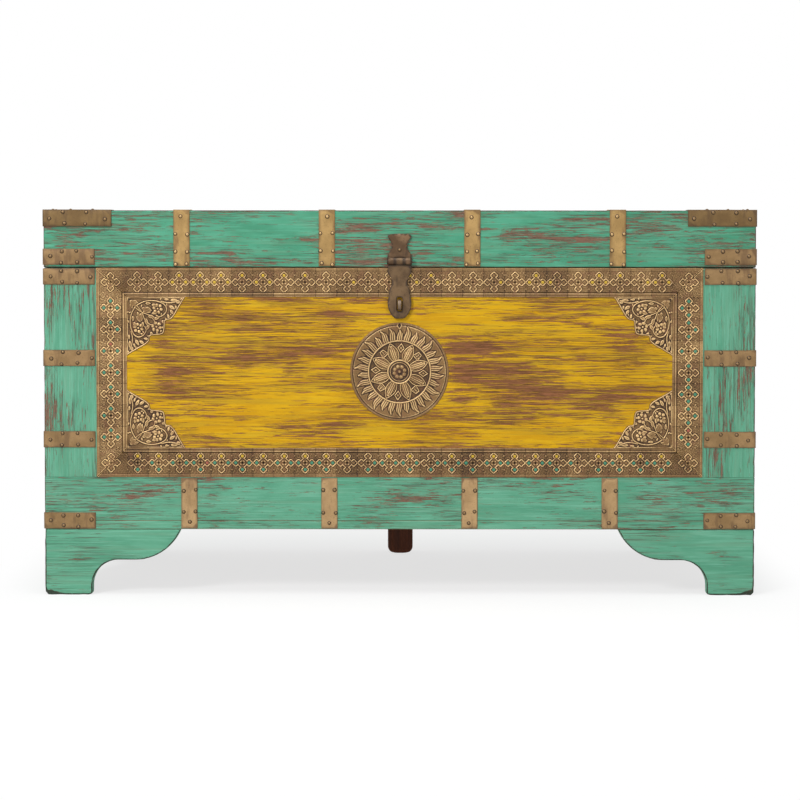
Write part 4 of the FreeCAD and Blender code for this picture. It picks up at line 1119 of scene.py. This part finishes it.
spandrelLook = {
    "reach": 94.0, "turns": 170, "rings": 140, "base": 0.3, "high": 1.4, "stem": 1.1, "rim": 1.2,
    "ground": 0.36, "rise": 0.16, "local": 1.15, "blur": 3,
    # the edge as shares of the reach, tip to tip
    "edge": ((1.0, 0.0), (0.957, 0.064), (0.872, 0.213), (0.809, 0.319), (0.745, 0.383), (0.665, 0.404),
             (0.654, 0.479), (0.644, 0.564), (0.622, 0.622)),
    "stems": (
        ((13, 16), (7.5, 27), (5.5, 40), (7.5, 52), (12.5, 61), (20, 64), (27.5, 60), (31, 53), (29, 47)),
        ((7, 55), (9, 66), (8, 76), (5, 84)),
        ((13, 16), (24, 24), (36, 29), (43, 36), (45, 41)),
    ),
    # each leaf: foot, length, width, turn
    "leaves": (
        (5, 5, 15, 4.2, 45), (9, 6, 11, 2.6, 20), (22, 26, 13, 3.4, 80), (16, 30, 12, 3.0, 60),
        (30, 34, 12, 3.2, 75), (26, 40, 11, 2.8, 100), (12, 40, 11, 3.0, 75), (10, 30, 9, 2.4, 90),
        (36, 44, 11, 3.0, 120), (14, 68, 11, 3.0, 60), (20, 70, 10, 2.6, 30), (5, 70, 12, 2.8, 92),
        (9, 79, 9, 2.2, 100), (33, 62, 10, 2.6, 20), (38, 56, 10, 2.8, 60), (27, 66, 9, 2.2, 10),
        (48, 56, 9, 2.6, 75), (3.5, 60, 8, 2.0, 90), (24, 17, 10, 2.6, 20),
    ),
    # each flower: centre, radius, petals; the second one is on the diagonal
    "flowers": ((18.5, 49.5, 8.6, 6), (47.5, 47.5, 8.8, 6)),
    "fillers": 420, "fillerSize": (5.5, 1.5), "fillerSeed": 3,
}


def spandrelHeight(a, b, look):
    high = look["high"]
    height = np.zeros_like(a)
    for first, second in ((a, b), (b, a)):  # alike on both sides of its diagonal
        for stem in look["stems"]:
            height = np.maximum(height, crest(gapToRun(first, second, smoothRun(stem)), look["stem"], high))
        for leaf in look["leaves"]:
            height = np.maximum(height, leafHeight(first, second, leaf, high * 0.95))
        for flower in look["flowers"]:
            height = np.maximum(height, flowerHeight(first, second, flower, high))
    dice = np.random.default_rng(look["fillerSeed"])
    length, width = look["fillerSize"]
    for _ in range(look["fillers"]):  # small leaves wherever the ground is still open
        x, y, turn = dice.uniform(3, 88), dice.uniform(3, 88), dice.uniform(0, 360)
        size = dice.uniform(0.7, 1.25)
        leaf = leafHeight(a, b, (x, y, length * size, width * size, turn), high * 0.8)
        ring = leafHeight(a, b, (x, y, length * size, (width + 0.7) * size, turn), 1.0) > 0
        if ring.any() and height[ring].max() < 0.15 * high:
            height = np.maximum(height, leaf)
    return height


def makeSpandrel(node, sideways, upward, look):
    edge = [np.array(point) for point in look["edge"]]
    edge += [point[::-1] for point in edge[-2::-1]]
    run = smoothRun(edge, 5)
    angles = np.array([math.atan2(point[1], point[0]) for point in run])
    radii = np.array([np.hypot(*point) for point in run]) * look["reach"]
    order = np.argsort(angles)
    turns = np.linspace(0, math.pi / 2, look["turns"])
    reach = np.interp(turns, angles[order], radii[order])
    share, turn = np.meshgrid(np.linspace(0, 1, look["rings"]) ** 0.8, turns)
    radius = share * reach[:, None]
    a, b = radius * np.cos(turn), radius * np.sin(turn)
    height = spandrelHeight(a, b, look)
    toEdge = gapToRun(a, b, [point * look["reach"] for point in run])
    height = height * np.clip((toEdge - 2.2) / 1.2, 0, 1)
    height = np.maximum(height, crest(toEdge - 1.5, look["rim"], 1.1))  # the raised rim of the curved edge
    height = np.maximum(height, crest(np.minimum(a, b) - 1.1, 0.9, 0.8))  # and of the two straight ones
    height += (stipple(a, b, 9.0, 1.1) - 0.4) * 0.22 * (height < 0.1)
    low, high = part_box(node)
    x = (low.x if sideways > 0 else high.x) + sideways * a * mm
    z = (low.z if upward > 0 else high.z) + upward * b * mm
    faces = gridFaces(look["turns"], look["rings"], flip=sideways * upward < 0)
    return embossedSheet(node, x, z, height, faces, look)


for node, sideways, upward in (("spandrel_bottom_left", 1, 1), ("spandrel_bottom_right", -1, 1),
                               ("spandrel_top_left", 1, -1), ("spandrel_top_right", -1, -1)):
    makeSpandrel(node, sideways, upward, spandrelLook)
print("corner ornaments embossed")


# Medallion: rosette, lotus petals, ring, wreath of flames, rim
medallionLook = {
    "rings": 124, "turns": 560, "base": 0.3, "petals": 8, "firstPetal": 18.7, "flames": 30, "high": 1.4,
    "ground": 0.24, "rise": 0.40, "local": 1.0, "blur": 3,
    "rosette": 12.6, "knob": 2.2, "roseRings": (18.6, 14.9), "wreathRing": 49.8, "signs": 38.2, "notch": 74.0,
    "petalRun": (20.2, 47.4), "petalHalf": 8.6, "flameRun": (51.6, 73.6), "flameHalf": 6.1, "rim": 74.2,
}


def medallionHeight(radius, turn, look):
    high = look["high"]
    x, y = radius * np.cos(turn), radius * np.sin(turn)
    outer, inner = look["roseRings"]
    height = crest(radius - outer, 1.5, high) + crest(radius - inner, 0.7, high * 0.5)
    ring = look["wreathRing"]
    height += crest(radius - ring, 1.5, high * 1.05) - groove(radius - ring - 2.4, 0.9, 0.35)
    height = np.maximum(height, flowerHeight(x, y, (0, 0, look["rosette"], 8), high * 0.8))
    height = np.maximum(height, crest(radius, look["knob"], high * 0.7))
    start, end = look["petalRun"]
    for index in range(look["petals"]):
        angle = math.radians(look["firstPetal"]) + 2 * math.pi * index / look["petals"]
        along, side = spun(x, y, angle)
        along = (along - start) / (end - start)
        swell = np.sin(math.pi * np.clip(0.2 + along * 0.8, 0, 1))
        half = look["petalHalf"] * np.clip(swell, 0.01, 1) ** 0.85
        reach = np.abs(side) / half
        there = (along > -0.04) & (along < 1.02) & (radius > 19.6)
        outline = crest((reach - 0.93) * half, 0.95, high) * there
        dome = 0.85 * high * crest(reach, 0.74, 1) ** 0.5 * there * (along < 0.86)
        veins = 0.3 * np.cos(side * 2.1) * (along < 0.7) * (reach < 0.66) * there
        height = np.maximum(height, np.maximum(outline, dome + veins * (dome > 0)))
        p, q = spun(x, y, angle + math.pi / look["petals"])  # the signs between the petals
        p = p - look["signs"]
        if index % 2:
            lozenge = np.abs(p) / 7.6 + np.abs(q) / 5.4
            mark = crest((lozenge - 0.9) * 4.4, 0.85, high * 0.9) + crest(lozenge, 0.55, 0.5 * high)
        else:
            block = np.maximum(np.abs(p - 0.5) / 5.4, np.abs(q) / (5.0 - 0.25 * p))
            mark = crest((block - 0.9) * 4.6, 0.85, high * 0.8)
            mark += 0.6 * high * (block < 0.62) * np.abs(np.cos(q * 0.9))
        height = np.maximum(height, mark * (radius > 20.5) * (radius < 48.2))
    start, end = look["flameRun"]
    along = (radius - start) / (end - start)
    pace = 2 * math.pi / look["flames"]
    place = turn / pace + 0.22 * np.sin(along * 4.2) * along  # each flame leans as it rises
    tall = 0.86 + 0.14 * np.sin(np.floor(place) * 2.4)
    side = ((place % 1.0) - 0.5) * pace * radius
    half = look["flameHalf"] * np.clip(1 - (np.clip(along / tall, 0, 1.2)) ** 1.7, 0, 1) ** 0.75
    reach = np.abs(side) / np.maximum(half, 0.05)
    there = (along > -0.03) & (along / tall < 1.0)
    flame = high * np.clip(1 - reach ** 2, 0, 1) ** 0.45 * (0.74 + 0.26 * np.cos(side * 2.0)) * there
    slope = 0.5 * high * np.clip((radius - 56) / 14, 0, 1) * (radius < 74.4)  # the ground rises to the rim
    height = np.maximum(height, np.maximum(flame, slope))
    height -= groove(np.abs(side) - half - 0.6, 0.6, 0.75) * (along > 0.02) * (along / tall < 1.05)
    beyond = radius - look["rim"]
    height += 0.45 * np.clip(beyond / 2.0, 0, 1) - groove(beyond - 0.8, 0.6, 0.3)
    notch = np.abs(x) + np.abs(y - look["notch"]) * 0.7
    return height - 0.5 * (notch < 3.2) + crest(notch - 3.6, 1.0, 0.8) * (y < 76)


def makeMedallion(look):
    low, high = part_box("medallion")
    centre = (low + high) / 2
    outer = (high.x - low.x) / 2 / mm
    turns = np.linspace(0, 2 * math.pi, look["turns"])
    radius, turn = np.meshgrid(np.linspace(0, outer, look["rings"]), turns)
    x, z = radius * np.cos(turn), radius * np.sin(turn)
    height = medallionHeight(radius, turn, look) + stipple(x, z, 2.0, 1.4) * 0.12
    height = np.maximum(height, -look["base"])
    height[:, -1] = np.minimum(height[:, -1], 0.1)
    height[:, 0] = height[:, 0].mean()  # one height in the middle
    height[-1] = height[0]  # and no step where the turn closes
    faces = gridFaces(look["turns"], look["rings"])
    return embossedSheet("medallion", centre.x + x * mm, centre.z + z * mm, height, faces, look)


makeMedallion(medallionLook)
print("medallion embossed")

# Plain pieces keep their own shapes and take these finishes
carried = {
    "corner_glue_blocks": "oldWoodX", "lid_battens": "oldWoodY", "hinge_case_leaves": "hingeIron",
    "hinge_lid_leaves": "hingeIron", "hinge_pins": "hingeIron", "hinge_case_screws": "hingeIron",
    "hinge_lid_screws": "hingeIron", "hasp_pin": "haspIron",
}
for node, finish in carried.items():
    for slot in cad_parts[node].material_slots:
        slot.material = materials[finish]
print("carried over:", len(carried))

# Studio: white floor that keeps the shadow, white surround, soft lamps
studio = {
    "floorHalf": 6.0, "floorTone": 0.85, "bounce": 0.64, "worldLevel": 0.4, "aim": (0, 0, 0.35),
    "shadowShare": 0.28, "shadowSides": (0.54, 0.70), "shadowDepth": (0.7, 1.5),
    "key": {"place": (-2.2, -3.0, 2.7), "size": 1.1, "power": 95},
    "fill": {"place": (2.4, -3.0, 1.6), "size": 2.4, "power": 12},
    "top": {"place": (0.0, -0.5, 3.0), "size": 2.2, "power": 55},
}


def seenByCamera(tree):
    path = addNode(tree, "ShaderNodeLightPath")
    seen = calc(tree, "MAXIMUM", path.outputs["Is Camera Ray"], path.outputs["Is Glossy Ray"])
    return calc(tree, "MAXIMUM", seen, path.outputs["Is Transmission Ray"])


def clearedTree(owner):
    owner.use_nodes = True
    owner.node_tree.nodes.clear()
    return owner.node_tree


def shownBy(tree, kind, light, plain):  # plain where the camera sees it, light for everything else
    ends = {0: seenByCamera(tree), 1: light.outputs[0], 2: plain.outputs[0]}
    both = addNode(tree, "ShaderNodeMixShader", ends)
    output = addNode(tree, kind)
    tree.links.new(both.outputs[0], output.inputs["Surface"])


def makeFloor(look):
    half = look["floorHalf"]
    corners = [(-half, -half, 0), (half, -half, 0), (half, half, 0), (-half, half, 0)]
    floor = meshPiece("floor", corners, [(0, 1, 2, 3)])
    material = bpy.data.materials.new("studio_floor")
    tree = clearedTree(material)
    matte = addNode(tree, "ShaderNodeBsdfDiffuse", {"Color": (look["floorTone"],) * 3 + (1,)})
    glow = addNode(tree, "ShaderNodeEmission", {"Color": (1, 1, 1, 1), "Strength": 1.0})
    bounce = addNode(tree, "ShaderNodeBsdfDiffuse", {"Color": (look["bounce"],) * 3 + (1,)})
    place = addNode(tree, "ShaderNodeTexCoord").outputs["Object"]
    apart = addNode(tree, "ShaderNodeSeparateXYZ", {0: place})
    share = look["shadowShare"]
    for axis, key in (("X", "shadowSides"), ("Y", "shadowDepth")):
        near, far = look[key]
        away = calc(tree, "ABSOLUTE", apart.outputs[axis])
        share = calc(tree, "MULTIPLY", ramp(tree, away, far, near), share)
    lit = addNode(tree, "ShaderNodeMixShader", {0: share, 1: glow.outputs[0], 2: matte.outputs[0]})
    shownBy(tree, "ShaderNodeOutputMaterial", bounce, lit)
    floor.data.materials.append(material)


def makeWorld(look):
    world = bpy.data.worlds.new("studio_surround")
    tree = clearedTree(world)
    white = addNode(tree, "ShaderNodeBackground", {"Color": (1, 1, 1, 1), "Strength": 1.0})
    soft = addNode(tree, "ShaderNodeBackground", {"Color": (1, 1, 1, 1), "Strength": look["worldLevel"]})
    shownBy(tree, "ShaderNodeOutputWorld", soft, white)
    scene.world = world


def makeLamp(name, look, target):
    data = bpy.data.lights.new(name, "AREA")
    data.shape = "DISK"
    data.size = look["size"]
    data.energy = look["power"]
    lamp = newPiece(name, data)
    lamp.location = look["place"]
    lamp.rotation_euler = (Vector(target) - Vector(look["place"])).to_track_quat("-Z", "Y").to_euler()


makeFloor(studio)
makeWorld(studio)
for name in ("key", "fill", "top"):
    makeLamp(name + "_lamp", studio[name], studio["aim"])

camera = {
    "place": (0.0109, -3.23, 0.5414), "yaw": 0.195, "pitch": 1.752, "roll": -0.028,
    "lens": 84.34, "shift": -0.1055,
}
cameraData = bpy.data.cameras.new("photo_camera")
cameraData.sensor_width = 36
cameraData.lens = camera["lens"]
cameraData.shift_y = camera["shift"]
cameraPiece = newPiece("photo_camera", cameraData)
cameraPiece.location = camera["place"]
cameraPiece.rotation_euler = Euler(
    (math.radians(90 - camera["pitch"]), math.radians(camera["roll"]), math.radians(camera["yaw"])), "XYZ")
scene.camera = cameraPiece
scene.view_settings.view_transform = "Standard"
print("studio ready")
